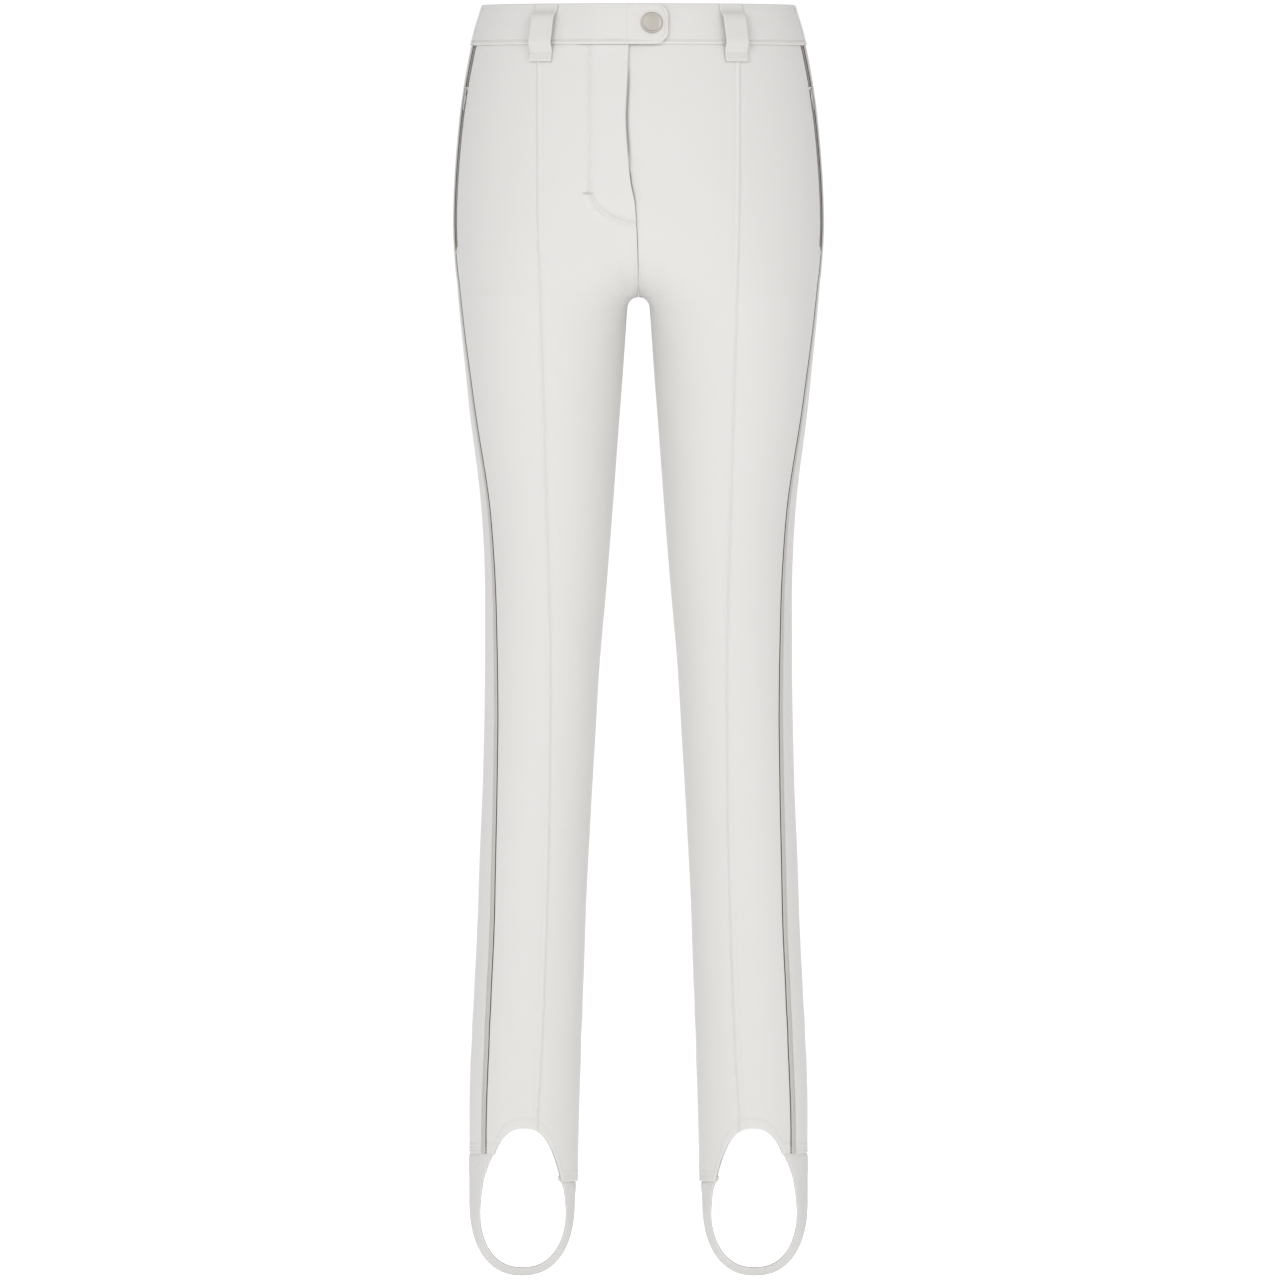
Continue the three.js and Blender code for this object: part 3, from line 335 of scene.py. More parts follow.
def right_front_lift(x, drop):
    """The fly's lift, with a rolled ridge along its curved topstitching."""
    top = FLY_LENGTH - 6
    tall = FLY_LENGTH + FLY_CURVE - top
    down = np.clip(drop - top, 0, None)
    ring = np.sqrt((x / FLY_STITCH) ** 2 + (down / tall) ** 2) + 1e-6
    slope = np.sqrt((x / FLY_STITCH**2) ** 2 + (down / tall**2) ** 2) / ring + 1e-6
    away = (ring - 1) / slope
    shown = 0.16 + 0.84 * ramp(drop, FLY_LENGTH - 12, FLY_LENGTH + 6)
    ridge = 1.2 * np.exp(-((away / 1.2) ** 2)) - 1.5 * np.exp(-(((away - 2.5) / 1.0) ** 2))
    inside = 0.5 * (1 - ramp(away, -1.5, 1.5))
    right_side = 1 - ramp(x, FLY_STITCH + 12, FLY_STITCH + 20)
    return fly_lift(x, drop) + (ridge * shown + inside) * right_side * (1 - ramp(drop, 205, 225))


def fly_stitch_line(drop):
    """How far out the fly's topstitching lies: straight down, then curving in to the centre."""
    curve_top = FLY_LENGTH - 6
    share = np.clip((drop - curve_top) / (FLY_LENGTH + FLY_CURVE - curve_top), 0, 1)
    return FLY_STITCH * np.sqrt(1 - share**2)


# ---- Meshes ------------------------------------------------------------------------------------


def placed(name, data):
    """A new object in the scene that carries the data."""
    thing = bpy.data.objects.new(name, data)
    bpy.context.scene.collection.objects.link(thing)
    return thing



def shell(name, outer, inner, uv, ring=False, inner_uv=None):
    """A closed sheet between two grids of points, with its flat cloth coordinates as UVs."""
    inner_uv = uv if inner_uv is None else inner_uv
    rows, columns = outer.shape[:2]
    count = rows * columns
    index = np.arange(count).reshape(rows, columns)
    last = columns if ring else columns - 1
    i = np.arange(last)
    a, b = index[:-1][:, i], index[:-1][:, (i + 1) % columns]
    c, d = index[1:][:, (i + 1) % columns], index[1:][:, i]
    front = np.stack([a, b, c, d], -1).reshape(-1, 4)
    back = np.stack([a, d, c, b], -1).reshape(-1, 4) + count
    rims = []
    for row, flip in ((0, False), (rows - 1, True)):
        p, q = index[row][i], index[row][(i + 1) % columns]
        rims.append(np.stack([q, p, p + count, q + count] if not flip else [p, q, q + count, p + count], -1))
    if not ring:
        for column, flip in ((0, False), (columns - 1, True)):
            p, q = index[:-1, column], index[1:, column]
            p, q = (q, p) if flip else (p, q)
            rims.append(np.stack([p, q, q + count, p + count], -1))
    faces = np.concatenate([front, back, *rims])
    points = np.concatenate([outer.reshape(-1, 3), inner.reshape(-1, 3)]) * MM
    mesh = bpy.data.meshes.new(name)
    mesh.from_pydata(points.tolist(), [], faces.tolist())
    lay_uv(mesh, np.concatenate([uv.reshape(-1, 2), inner_uv.reshape(-1, 2)]) * MM)
    if volume(mesh) < 0:
        mesh.flip_normals()
    mesh.shade_smooth()
    return placed(name, mesh)


def lay_uv(mesh, per_vertex):
    layer = mesh.uv_layers.new(name="cloth")
    corners = np.zeros(len(mesh.loops), dtype=np.int32)
    mesh.loops.foreach_get("vertex_index", corners)
    layer.data.foreach_set("uv", per_vertex[corners].astype(np.float32).ravel())


def volume(mesh):
    bm = bmesh.new()
    bm.from_mesh(mesh)
    size = bm.calc_volume(signed=True)
    bm.free()
    return size


def finish_piece(piece, body, material, nodes=(), blend=None):
    if material:
        piece.data.materials.clear()
        piece.data.materials.append(material)
    if nodes:
        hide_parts(*nodes)
    if blend:
        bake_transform(piece)
    else:
        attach(piece, body)
    return piece


EDGE_STEPS = np.array([0.0, 0.35, 0.7, 1.05, 1.5, 2.0, 2.6, 3.2, 4.0, 5.2])


def spread_across(start, end, drops, middle):
    """Angles and distances across a panel: close together at its seams and even between them."""
    columns = 2 * len(EDGE_STEPS) + middle
    angles = np.zeros((len(drops), columns))
    across = np.zeros_like(angles)
    for j, drop in enumerate(drops):
        sweep = np.linspace(float(start(drop)), float(end(drop)), 61)
        points = skin(sweep, hemmed(sweep, drop))
        steps = np.linalg.norm(np.diff(points, axis=0), axis=1)
        run = np.concatenate([[0], np.cumsum(steps)])
        inside = np.linspace(EDGE_STEPS[-1], run[-1] - EDGE_STEPS[-1], middle + 2)[1:-1]
        stops = np.concatenate([EDGE_STEPS, inside, run[-1] - EDGE_STEPS[::-1]])
        angles[j] = np.interp(stops, run, sweep)
        across[j] = stops
    return angles, across


def seam_profile(distance, style):
    """Height of the cloth near a seam, by distance from it."""
    if style == "crease":
        return 1.35 * np.exp(-((distance / 1.15) ** 2)) - 0.22 * np.exp(-(((distance - 2.9) / 1.0) ** 2))
    if style == "tucked":
        return -0.5 * np.exp(-((distance / 0.6) ** 2))
    if style == "edge":
        return -0.5 * np.exp(-((distance / 0.5) ** 2))
    return -0.55 * np.exp(-((distance / 1.0) ** 2))


def drop_ladder(*stretches):
    """Drops from several (start, end, step) stretches, without repeats."""
    parts = [np.arange(start, end, step) for start, end, step in stretches]
    return np.append(np.concatenate(parts), stretches[-1][1])


PANEL_DROPS = drop_ladder(
    (BAND_HEIGHT, 40, 0.8), (40, 150, 5), (150, 205, 1.25), (205, 218, 1.6), (218, CROTCH_DROP - 16, 4),
    (CROTCH_DROP - 16, CROTCH_DROP - 4, 1.5), (CROTCH_DROP - 4, CROTCH_DROP + 1, 0.5),
    (CROTCH_DROP + 1, CROTCH_DROP + 12, 1.0), (CROTCH_DROP + 12, CROTCH_DROP + 60, 4),
    (CROTCH_DROP + 60, KNEE_DROP - 60, 7), (KNEE_DROP - 60, KNEE_DROP + 60, 4),
    (KNEE_DROP + 60, ANKLE_DROP, 7), (ANKLE_DROP, INNER_HEM_DROP - 18, 4),
    (INNER_HEM_DROP - 18, INNER_HEM_DROP, 1.2),
)


def pocket_slot(drop):
    return SLOT_WIDTH * (1 - ramp(drop, POCKET_BOTTOM - 3, POCKET_BOTTOM + 3))


def slot_shown(drop):
    """The slot as it is seen: the front's edge springs back over part of it."""
    return 0.7 * pocket_slot(drop)


def leg_panel(name, start, end, styles, middle, mirrored, lift=None):
    angles, across = spread_across(start, end, PANEL_DROPS, middle)
    drops = hemmed(angles, PANEL_DROPS[:, None])
    width = across[:, -1:]
    rise = seam_profile(across, styles[0]) + seam_profile(width - across, styles[1])
    below_band = PANEL_DROPS[:, None] - BAND_HEIGHT
    above_hem = hem_at(angles) - drops
    rise = rise - 0.5 * np.exp(-((below_band / 1.5) ** 2))
    rise = rise - 0.5 * np.exp(-((above_hem / 0.8) ** 2)) - 0.22 * np.exp(-(((above_hem - 9) / 1.1) ** 2))
    raised = lift(skin(angles, drops)[..., 0], drops) if lift else 0.0
    outer = on_skin(angles, drops, raised + rise, mirrored)
    inner = on_skin(angles, drops, raised + np.minimum(rise, 0) - FABRIC, mirrored)
    uv = np.stack([across, np.broadcast_to(drops, across.shape)], -1)
    piece = shell(name, outer, inner, uv)
    return piece, float(width.max()), float(INNER_HEM_DROP - BAND_HEIGHT)


def polyline(lines, name="path"):
    """Open runs of points, in millimetres, as one mesh of edges."""
    points, edges = [], []
    for line in lines:
        first = len(points)
        points.extend((np.asarray(line) * MM).tolist())
        edges.extend([(first + k, first + k + 1) for k in range(len(line) - 1)])
    mesh = bpy.data.meshes.new(name)
    mesh.from_pydata(points, edges, [])
    return placed(name, mesh)


# ---- Geometry node trees -----------------------------------------------------------------------


def new_tree(name, sizes):
    tree = bpy.data.node_groups.new(name, "GeometryNodeTree")
    tree.interface.new_socket("Geometry", in_out="INPUT", socket_type="NodeSocketGeometry")
    for label, value in sizes:
        socket = tree.interface.new_socket(label, in_out="INPUT", socket_type="NodeSocketFloat")
        socket.default_value = value
    tree.interface.new_socket("Finish", in_out="INPUT", socket_type="NodeSocketMaterial")
    tree.interface.new_socket("Geometry", in_out="OUTPUT", socket_type="NodeSocketGeometry")
    return tree, tree.nodes.new("NodeGroupInput"), tree.nodes.new("NodeGroupOutput")


def even_points(tree, given, pitch):
    """The drawn lines as curves, with points one pitch apart."""
    to_curve = tree.nodes.new("GeometryNodeMeshToCurve")
    resample = tree.nodes.new("GeometryNodeResampleCurve")
    resample.mode = "LENGTH"
    tree.links.new(given, to_curve.inputs["Mesh"])
    tree.links.new(to_curve.outputs["Curve"], resample.inputs["Curve"])
    tree.links.new(pitch, resample.inputs["Length"])
    return resample.outputs["Curve"]


def facing_along(tree, axis="Z"):
    tangent = tree.nodes.new("GeometryNodeInputTangent")
    align = tree.nodes.new("FunctionNodeAlignRotationToVector")
    align.axis = axis
    tree.links.new(tangent.outputs["Tangent"], align.inputs["Vector"])
    return align.outputs["Rotation"]


def finish_tree(tree, instances, finish, out):
    realize = tree.nodes.new("GeometryNodeRealizeInstances")
    paint = tree.nodes.new("GeometryNodeSetMaterial")
    smooth = tree.nodes.new("GeometryNodeSetShadeSmooth")
    tree.links.new(instances, realize.inputs["Geometry"])
    tree.links.new(realize.outputs["Geometry"], smooth.inputs[0])
    tree.links.new(smooth.outputs[0], paint.inputs["Geometry"])
    tree.links.new(finish, paint.inputs["Material"])
    tree.links.new(paint.outputs["Geometry"], out.inputs["Geometry"])


def stitch_tree():
    """A row of short thread stitches along each line."""
    sizes_given = [("Stitch", 2.6 * MM), ("Pitch", 3.4 * MM), ("Thread", 0.28 * MM)]
    tree, given, out = new_tree("Topstitching", sizes_given)
    points = even_points(tree, given.outputs["Geometry"], given.outputs["Pitch"])
    ball = tree.nodes.new("GeometryNodeMeshUVSphere")
    ball.inputs["Segments"].default_value = 6
    ball.inputs["Rings"].default_value = 5
    ball.inputs["Radius"].default_value = 1.0
    size = tree.nodes.new("ShaderNodeCombineXYZ")
    half = tree.nodes.new("ShaderNodeMath")
    half.operation = "MULTIPLY"
    half.inputs[1].default_value = 0.5
    tree.links.new(given.outputs["Stitch"], half.inputs[0])
    tree.links.new(given.outputs["Thread"], size.inputs["X"])
    tree.links.new(given.outputs["Thread"], size.inputs["Y"])
    tree.links.new(half.outputs[0], size.inputs["Z"])
    place = tree.nodes.new("GeometryNodeInstanceOnPoints")
    tree.links.new(points, place.inputs["Points"])
    tree.links.new(ball.outputs["Mesh"], place.inputs["Instance"])
    tree.links.new(facing_along(tree), place.inputs["Rotation"])
    tree.links.new(size.outputs["Vector"], place.inputs["Scale"])
    finish_tree(tree, place.outputs["Instances"], given.outputs["Finish"], out)
    return tree


def teeth_tree():
    """A row of zip teeth along each line; the line's "out" attribute points out of the cloth."""
    tree, given, out = new_tree("Zip Teeth", [
        ("Pitch", 1.5 * MM), ("Tooth Width", 2.0 * MM),
        ("Tooth Length", 0.95 * MM), ("Tooth Height", 1.9 * MM),
    ])
    points = even_points(tree, given.outputs["Geometry"], given.outputs["Pitch"])
    block = tree.nodes.new("GeometryNodeMeshCube")
    size = tree.nodes.new("ShaderNodeCombineXYZ")
    tree.links.new(given.outputs["Tooth Width"], size.inputs["X"])
    tree.links.new(given.outputs["Tooth Length"], size.inputs["Y"])
    tree.links.new(given.outputs["Tooth Height"], size.inputs["Z"])
    tree.links.new(size.outputs["Vector"], block.inputs["Size"])
    outwards = tree.nodes.new("GeometryNodeInputNamedAttribute")
    outwards.data_type = "FLOAT_VECTOR"
    outwards.inputs["Name"].default_value = "out"
    align = tree.nodes.new("FunctionNodeAlignRotationToVector")
    align.axis = "Z"
    align.pivot_axis = "Y"
    tree.links.new(facing_along(tree, "Y"), align.inputs["Rotation"])
    tree.links.new(outwards.outputs["Attribute"], align.inputs["Vector"])
    place = tree.nodes.new("GeometryNodeInstanceOnPoints")
    tree.links.new(points, place.inputs["Points"])
    tree.links.new(block.outputs["Mesh"], place.inputs["Instance"])
    tree.links.new(align.outputs["Rotation"], place.inputs["Rotation"])
    finish_tree(tree, place.outputs["Instances"], given.outputs["Finish"], out)
    return tree


def grown(lines, tree, name, finish, **sizes):
    """Runs a node tree over drawn lines and keeps the result as a plain mesh."""
    modifier = lines.modifiers.new("grow", "NODES")
    modifier.node_group = tree
    for item in tree.interface.items_tree:
        if item.in_out != "INPUT":
            continue
        if item.name == "Finish":
            modifier[item.identifier] = finish
        elif item.name in sizes:
            modifier[item.identifier] = sizes[item.name]
    bpy.context.view_layer.update()
    evaluated = lines.evaluated_get(bpy.context.evaluated_depsgraph_get())
    mesh = bpy.data.meshes.new_from_object(evaluated)
    mesh.name = name
    piece = placed(name, mesh)
    bpy.data.objects.remove(lines)
    return piece


def stitches(name, lines, body="pants", blend=None, **sizes):
    tree = bpy.data.node_groups.get("Topstitching") or stitch_tree()
    piece = grown(polyline(lines), tree, name, thread_finish(), **sizes)
    return finish_piece(piece, body, None, blend=blend)


# ---- Shader groups and materials ---------------------------------------------------------------


class Graph:
    """Small helper that adds and links nodes in one tree."""

    def __init__(self, tree):
        self.tree = tree

    def add(self, kind, **settings):
        node = self.tree.nodes.new(kind)
        for key, value in settings.items():
            setattr(node, key, value)
        return node

    def feed(self, socket, value):
        if isinstance(value, bpy.types.NodeSocket):
            self.tree.links.new(value, socket)
        elif value is not None:
            socket.default_value = value

    def math(self, operation, a, b=None):
        node = self.add("ShaderNodeMath", operation=operation)
        self.feed(node.inputs[0], a)
        self.feed(node.inputs[1], b)
        return node.outputs[0]

    def mix(self, factor, a, b):
        node = self.add("ShaderNodeMix", data_type="RGBA")
        self.feed(node.inputs[0], factor)
        self.feed(node.inputs[6], a)
        self.feed(node.inputs[7], b)
        return node.outputs[2]

    def noise(self, vector, scale, detail=3.0):
        node = self.add("ShaderNodeTexNoise")
        self.feed(node.inputs["Vector"], vector)
        self.feed(node.inputs["Scale"], scale)
        self.feed(node.inputs["Detail"], detail)
        return node.outputs["Fac"]


def shader_group(name, inputs, outputs):
    tree = bpy.data.node_groups.new(name, "ShaderNodeTree")
    for label, kind, value in inputs:
        socket = tree.interface.new_socket(label, in_out="INPUT", socket_type=kind)
        if value is not None:
            socket.default_value = value
    for label, kind in outputs:
        tree.interface.new_socket(label, in_out="OUTPUT", socket_type=kind)
    return Graph(tree), tree.nodes.new("NodeGroupInput").outputs, tree.nodes.new("NodeGroupOutput").inputs


FLOAT, VECTOR = "NodeSocketFloat", "NodeSocketVector"


def woven_group():
    """Diagonal twill lines crossed by fine threads, with slubs; UVs are in metres of cloth."""
    made = bpy.data.node_groups.get("Woven Twill")
    if made:
        return made
    g, given, out = shader_group(
        "Woven Twill",
        [
            ("Vector", VECTOR, None), ("Line Spacing", FLOAT, 0.0009),
            ("Slant", FLOAT, 1.0), ("Slub", FLOAT, 0.3),
        ],
        [("Height", FLOAT), ("Shade", FLOAT)],
    )
    axes = g.add("ShaderNodeSeparateXYZ")
    g.feed(axes.inputs[0], given["Vector"])
    slope = g.math("MULTIPLY", axes.outputs[1], given["Slant"])
    diagonal = g.math("ADD", axes.outputs[0], slope)
    turns = g.math("DIVIDE", g.math("MULTIPLY", diagonal, 2 * math.pi), given["Line Spacing"])
    ridge = g.math("MULTIPLY", g.math("ADD", g.math("SINE", turns), 1.0), 0.5)
    cross = g.math("DIVIDE", g.math("MULTIPLY", axes.outputs[1], 4 * math.pi), given["Line Spacing"])
    thread = g.math("MULTIPLY", g.math("ADD", g.math("SINE", cross), 1.0), 0.25)
    slub = g.math("MULTIPLY", g.noise(given["Vector"], 900.0, 2.0), given["Slub"])
    g.feed(out["Height"], g.math("ADD", g.math("ADD", ridge, thread), slub))
    g.feed(out["Shade"], g.math("ADD", g.math("MULTIPLY", ridge, 0.6), g.math("MULTIPLY", slub, 0.8)))
    return g.tree


def mottle_group():
    """Broad, faint changes of tone over a piece, with a finer cloudy layer."""
    made = bpy.data.node_groups.get("Cloth Mottle")
    if made:
        return made
    g, given, out = shader_group(
        "Cloth Mottle",
        [("Vector", VECTOR, None), ("Broad", FLOAT, 9.0), ("Fine", FLOAT, 140.0)],
        [("Tone", FLOAT)],
    )
    broad = g.noise(given["Vector"], given["Broad"], 2.0)
    fine = g.noise(given["Vector"], given["Fine"], 4.0)
    g.feed(out["Tone"], g.math("ADD", g.math("MULTIPLY", broad, 0.65), g.math("MULTIPLY", fine, 0.35)))
    return g.tree


def use_group(g, tree, **values):
    node = g.add("ShaderNodeGroup", node_tree=tree)
    for label, value in values.items():
        g.feed(node.inputs[label.replace("_", " ")], value)
    return node.outputs


def new_material(name):
    material = bpy.data.materials.new(name)
    material.use_nodes = True
    g = Graph(material.node_tree)
    shader = material.node_tree.nodes["Principled BSDF"]
    return material, g, shader


def flat_cloth(g):
    return g.add("ShaderNodeUVMap", uv_map="cloth").outputs["UV"]


def object_place(g):
    return g.add("ShaderNodeTexCoord").outputs["Object"]


def bump(g, shader, height, strength, distance):
    node = g.add("ShaderNodeBump")
    node.inputs["Strength"].default_value = strength
    node.inputs["Distance"].default_value = distance
    g.feed(node.inputs["Height"], height)
    g.feed(shader.inputs["Normal"], node.outputs["Normal"])


def darker(colour, share):
    return (colour[0] * share, colour[1] * share, colour[2] * share, 1.0)


def cloth_finish(name, colour, spacing, slant=1.0, strength=0.35, sheen=0.25, contrast=0.93):
    made = bpy.data.materials.get(name)
    if made:
        return made
    material, g, shader = new_material(name)
    uv = flat_cloth(g)
    weave = use_group(g, woven_group(), Vector=uv, Line_Spacing=spacing, Slant=slant, Slub=0.3)
    tone = use_group(g, mottle_group(), Vector=object_place(g), Broad=9.0, Fine=140.0)
    base = g.mix(tone["Tone"], darker(colour, 0.975), (*colour, 1.0))
    g.feed(shader.inputs["Base Color"], g.mix(weave["Shade"], darker(colour, contrast), base))
    g.feed(shader.inputs["Roughness"], g.math("ADD", g.math("MULTIPLY", tone["Tone"], 0.1), 0.78))
    shader.inputs["Sheen Weight"].default_value = sheen
    shader.inputs["Sheen Roughness"].default_value = 0.5
    bump(g, shader, weave["Height"], strength, 0.00012)
    return material


def sizes():
    return bpy.context.scene.pants_sizes


def colours():
    return bpy.context.scene.pants_colours


def twill_finish():
    return cloth_finish("ski twill", tuple(colours().cloth), sizes().twill)


def warm_finish():
    return cloth_finish("belt loop twill", tuple(colours().loops), sizes().twill)


def lining_finish():
    return cloth_finish("waist lining", tuple(colours().lining), 0.0006, slant=0.0, strength=0.25, sheen=0.1)


def tape_finish():
    colour = tuple(colours().tape)
    return cloth_finish("zip tape", colour, 0.0011, slant=2.0, strength=0.5, sheen=0.1, contrast=0.8)


def thread_finish():
    made = bpy.data.materials.get("topstitch thread")
    if made:
        return made
    material, g, shader = new_material("topstitch thread")
    colour = tuple(colours().thread)
    tone = use_group(g, mottle_group(), Vector=object_place(g), Broad=60.0, Fine=1500.0)
    g.feed(shader.inputs["Base Color"], g.mix(tone["Tone"], darker(colour, 0.9), (*colour, 1.0)))
    g.feed(shader.inputs["Roughness"], g.math("ADD", g.math("MULTIPLY", tone["Tone"], 0.2), 0.5))
    return material


def knit_finish():
    """Ribbed elastic: ribs run along the strap, crossed by rows of loops."""
    made = bpy.data.materials.get("ribbed elastic")
    if made:
        return made
    material, g, shader = new_material("ribbed elastic")
    colour = tuple(colours().cloth)
    axes = g.add("ShaderNodeSeparateXYZ")
    g.feed(axes.inputs[0], flat_cloth(g))
    rib = g.math("SINE", g.math("MULTIPLY", axes.outputs[0], 2 * math.pi / 0.0024))
    loop = g.math("SINE", g.math("MULTIPLY", axes.outputs[1], 2 * math.pi / 0.0012))
    height = g.math("ADD", g.math("MULTIPLY", rib, 0.5), g.math("MULTIPLY", loop, 0.2))
    shade = g.math("ADD", g.math("MULTIPLY", height, 0.5), 0.5)
    tone = use_group(g, mottle_group(), Vector=object_place(g), Broad=14.0, Fine=220.0)
    base = g.mix(tone["Tone"], darker(colour, 0.97), (*colour, 1.0))
    g.feed(shader.inputs["Base Color"], g.mix(shade, darker(colour, 0.84), base))
    g.feed(shader.inputs["Roughness"], g.math("ADD", g.math("MULTIPLY", tone["Tone"], 0.1), 0.72))
    shader.inputs["Sheen Weight"].default_value = 0.2
    bump(g, shader, height, 0.5, 0.0003)
    return material


def piping_finish():
    """A pale ribbon between two thin dark edges of painted shade, which stand for the shadowed grooves beside
    the cord; UV x runs 0 to the piping's width.
    """
    made = bpy.data.materials.get("outseam piping")
    if made:
        return made
    material, g, shader = new_material("outseam piping")
    uv = flat_cloth(g)
    axes = g.add("ShaderNodeSeparateXYZ")
    g.feed(axes.inputs[0], uv)
    # The edge mask paints shade: the thin near-black bands at both edges stand for the shadowed grooves
    # beside the raised cord.
    from_middle = g.math("ABSOLUTE", g.math("SUBTRACT", axes.outputs[0], PIPING_SHOWN / 2 * MM))
    edge = g.math("MULTIPLY", g.math("SUBTRACT", from_middle, 0.0024), 5000.0)
    edge = g.math("MINIMUM", g.math("MAXIMUM", edge, 0.0), 1.0)
    weave = use_group(g, woven_group(), Vector=uv, Line_Spacing=0.0007, Slant=1.5, Slub=0.4)
    middle_colour, groove_shade_colour = tuple(colours().piping), tuple(colours().piping_groove_shade)
    pale = g.mix(weave["Shade"], darker(middle_colour, 0.85), (*middle_colour, 1.0))
    # dark is the painted shade of those grooves, laid over the piping's edges.
    dark = g.mix(weave["Shade"], darker(groove_shade_colour, 0.8), (*groove_shade_colour, 1.0))
    g.feed(shader.inputs["Base Color"], g.mix(edge, pale, dark))
    g.feed(shader.inputs["Roughness"], g.math("ADD", g.math("MULTIPLY", weave["Shade"], 0.15), 0.55))
    bump(g, shader, weave["Height"], 0.5, 0.00015)
    return material


def metal_finish(name="satin silver metal", colour=None, roughness=0.2):
    """Satin plating with fine brush lines and a little wear in the tone."""
    made = bpy.data.materials.get(name)
    if made:
        return made
    material, g, shader = new_material(name)
    colour = colour or tuple(colours().metal)
    place = object_place(g)
    stretch = g.add("ShaderNodeMapping")
    g.feed(stretch.inputs["Vector"], place)
    stretch.inputs["Scale"].default_value = (1.0, 1.0, 12.0)
    brushed = g.noise(stretch.outputs["Vector"], 900.0, 5.0)
    tone = use_group(g, mottle_group(), Vector=place, Broad=250.0, Fine=2500.0)
    g.feed(shader.inputs["Base Color"], g.mix(tone["Tone"], darker(colour, 0.85), (*colour, 1.0)))
    g.feed(shader.inputs["Roughness"], g.math("ADD", g.math("MULTIPLY", brushed, 0.2), roughness))
    shader.inputs["Metallic"].default_value = 1.0
    bump(g, shader, brushed, 0.15, 0.00005)
    return material


# ---- Legs --------------------------------------------------------------------------------------


def make_leg(side, mirrored):
    """The three panels of one leg."""
    edge = right_fly_edge if mirrored else left_fly_edge
    cloth = twill_finish()
    inner, width, length = leg_panel(
        f"{side}_front_inner_cloth", crease_angle, lambda d: middle_angle(d, float(edge(d)), False),
        ("crease", "edge"), 86, mirrored, right_front_lift if mirrored else left_front_lift,
    )
    finish_piece(inner, "pants", cloth, [f"{side}_front_inner_panel"])
    outer, width, length = leg_panel(
        f"{side}_front_outer_cloth", lambda d: shifted(seam_angle(d), d, PIPING_SHOWN / 2 + slot_shown(d)),
        crease_angle, ("tucked", "crease"), 16, mirrored,
    )
    finish_piece(outer, "pants", cloth, [f"{side}_front_outer_panel"])
    back, width, length = leg_panel(
        f"{side}_back_cloth", lambda d: shifted(seam_angle(d), d, -PIPING_SHOWN / 2),
        lambda d: middle_angle(d, 0.0, True), ("tucked", "seam"), 56, mirrored,
    )
    finish_piece(back, "pants", cloth, [f"{side}_back_panel"])


def make_piping(side, mirrored):
    """A woven ribbon over the outseam, from the band to the hem."""
    share = np.linspace(0, 1, 15)
    drops = PANEL_DROPS[:, None]
    middle = seam_angle(drops)
    angles = shifted(middle, drops, (share[None, :] - 0.5) * PIPING_SHOWN)
    at = hemmed(angles, drops)
    crown = 0.9 * np.sqrt(np.clip(1 - (2 * share - 1) ** 2, 0, 1)) - 0.35
    outer = on_skin(angles, at, np.broadcast_to(crown, angles.shape), mirrored)
    inner = on_skin(angles, at, np.full(angles.shape, -FABRIC), mirrored)
    uv = np.stack([np.broadcast_to(share * PIPING_SHOWN, angles.shape), at], -1)
    wall_uv = np.stack([np.full(angles.shape, PIPING_SHOWN / 2), at], -1)
    piece = shell(f"{side}_piping_cord", outer, inner, uv, inner_uv=wall_uv)
    finish_piece(piece, "pants", piping_finish(), [f"{side}_piping"])


HEM_FACING_HEIGHT = 12.0
ANKLE_MEAN = 47


def make_hem_facing(side, mirrored):
    turn = np.linspace(180, -180, 97)[:-1]
    heights = np.array([0.6, 2.0, 5.0, 9.0, 11.5, HEM_FACING_HEIGHT])
    angles = np.broadcast_to(turn, (len(heights), len(turn)))
    drops = hem_at(angles) - heights[:, None]
    lift = np.full(angles.shape, -FABRIC - 0.35)
    outer = on_skin(angles, drops, lift, mirrored)
    inner = on_skin(angles, drops, lift - FACING, mirrored)
    uv = np.stack([np.radians(angles) * ANKLE_MEAN, drops], -1)
    piece = shell(f"{side}_hem_facing_cloth", outer, inner, uv, ring=True)
    finish_piece(piece, "pants", lining_finish(), [f"{side}_hem_facing"])


# ---- Waistband ---------------------------------------------------------------------------------

THREAD_PROUD = 0.12
BAND_DROPS = np.concatenate([[0, 0.15, 0.5, 1.1, 2.0], np.linspace(4, 29.5, 10), np.linspace(30.5, 36, 16)])


def band_profile(drop, top=0.0, bottom=BAND_HEIGHT):
    """The band's own relief: rounded edges, a slight puff and the groove of its topstitching."""
    from_top = np.clip(1.2 - (drop - top), 0, 1.2)
    rounded = 1.2 - np.sqrt(np.clip(1.44 - from_top**2, 0, None))
    puff = 0.25 * np.sin(np.pi * np.clip((drop - top) / (bottom - top), 0, 1))
    bead = 0.6 * np.exp(-(((drop - (bottom - 1.7)) / 0.9) ** 2))
    groove = 0.35 * np.exp(-(((drop - (bottom - 3.9)) / 0.7) ** 2))
    return puff - rounded + bead - groove - 0.7 * np.exp(-(((drop - bottom) / 0.6) ** 2))


def past_centre(angle, drop, lift, mirrored):
    """Follows the front round past the centre onto the other half."""
    middle = angle_at_x(0.0, drop)
    beyond = angle > middle
    folded = np.where(beyond, 2 * middle - angle, angle)
    points = on_skin(folded, drop, lift, mirrored, worn=False)
    points[..., 0] = np.where(beyond, -points[..., 0], points[..., 0])
    points[..., 2] = -drop
    return points


def band_end(x, drop):
    return 2 * angle_at_x(0.0, drop) - angle_at_x(-x, drop) if x < 0 else angle_at_x(x, drop)


def band_lift(x, mirrored):
    return TAB_LIFT * (1 - ramp(x, BAND_UNDERLAP - 2, FRONT_LOOP - LOOP_WIDTH)) if mirrored else 0.0 * x


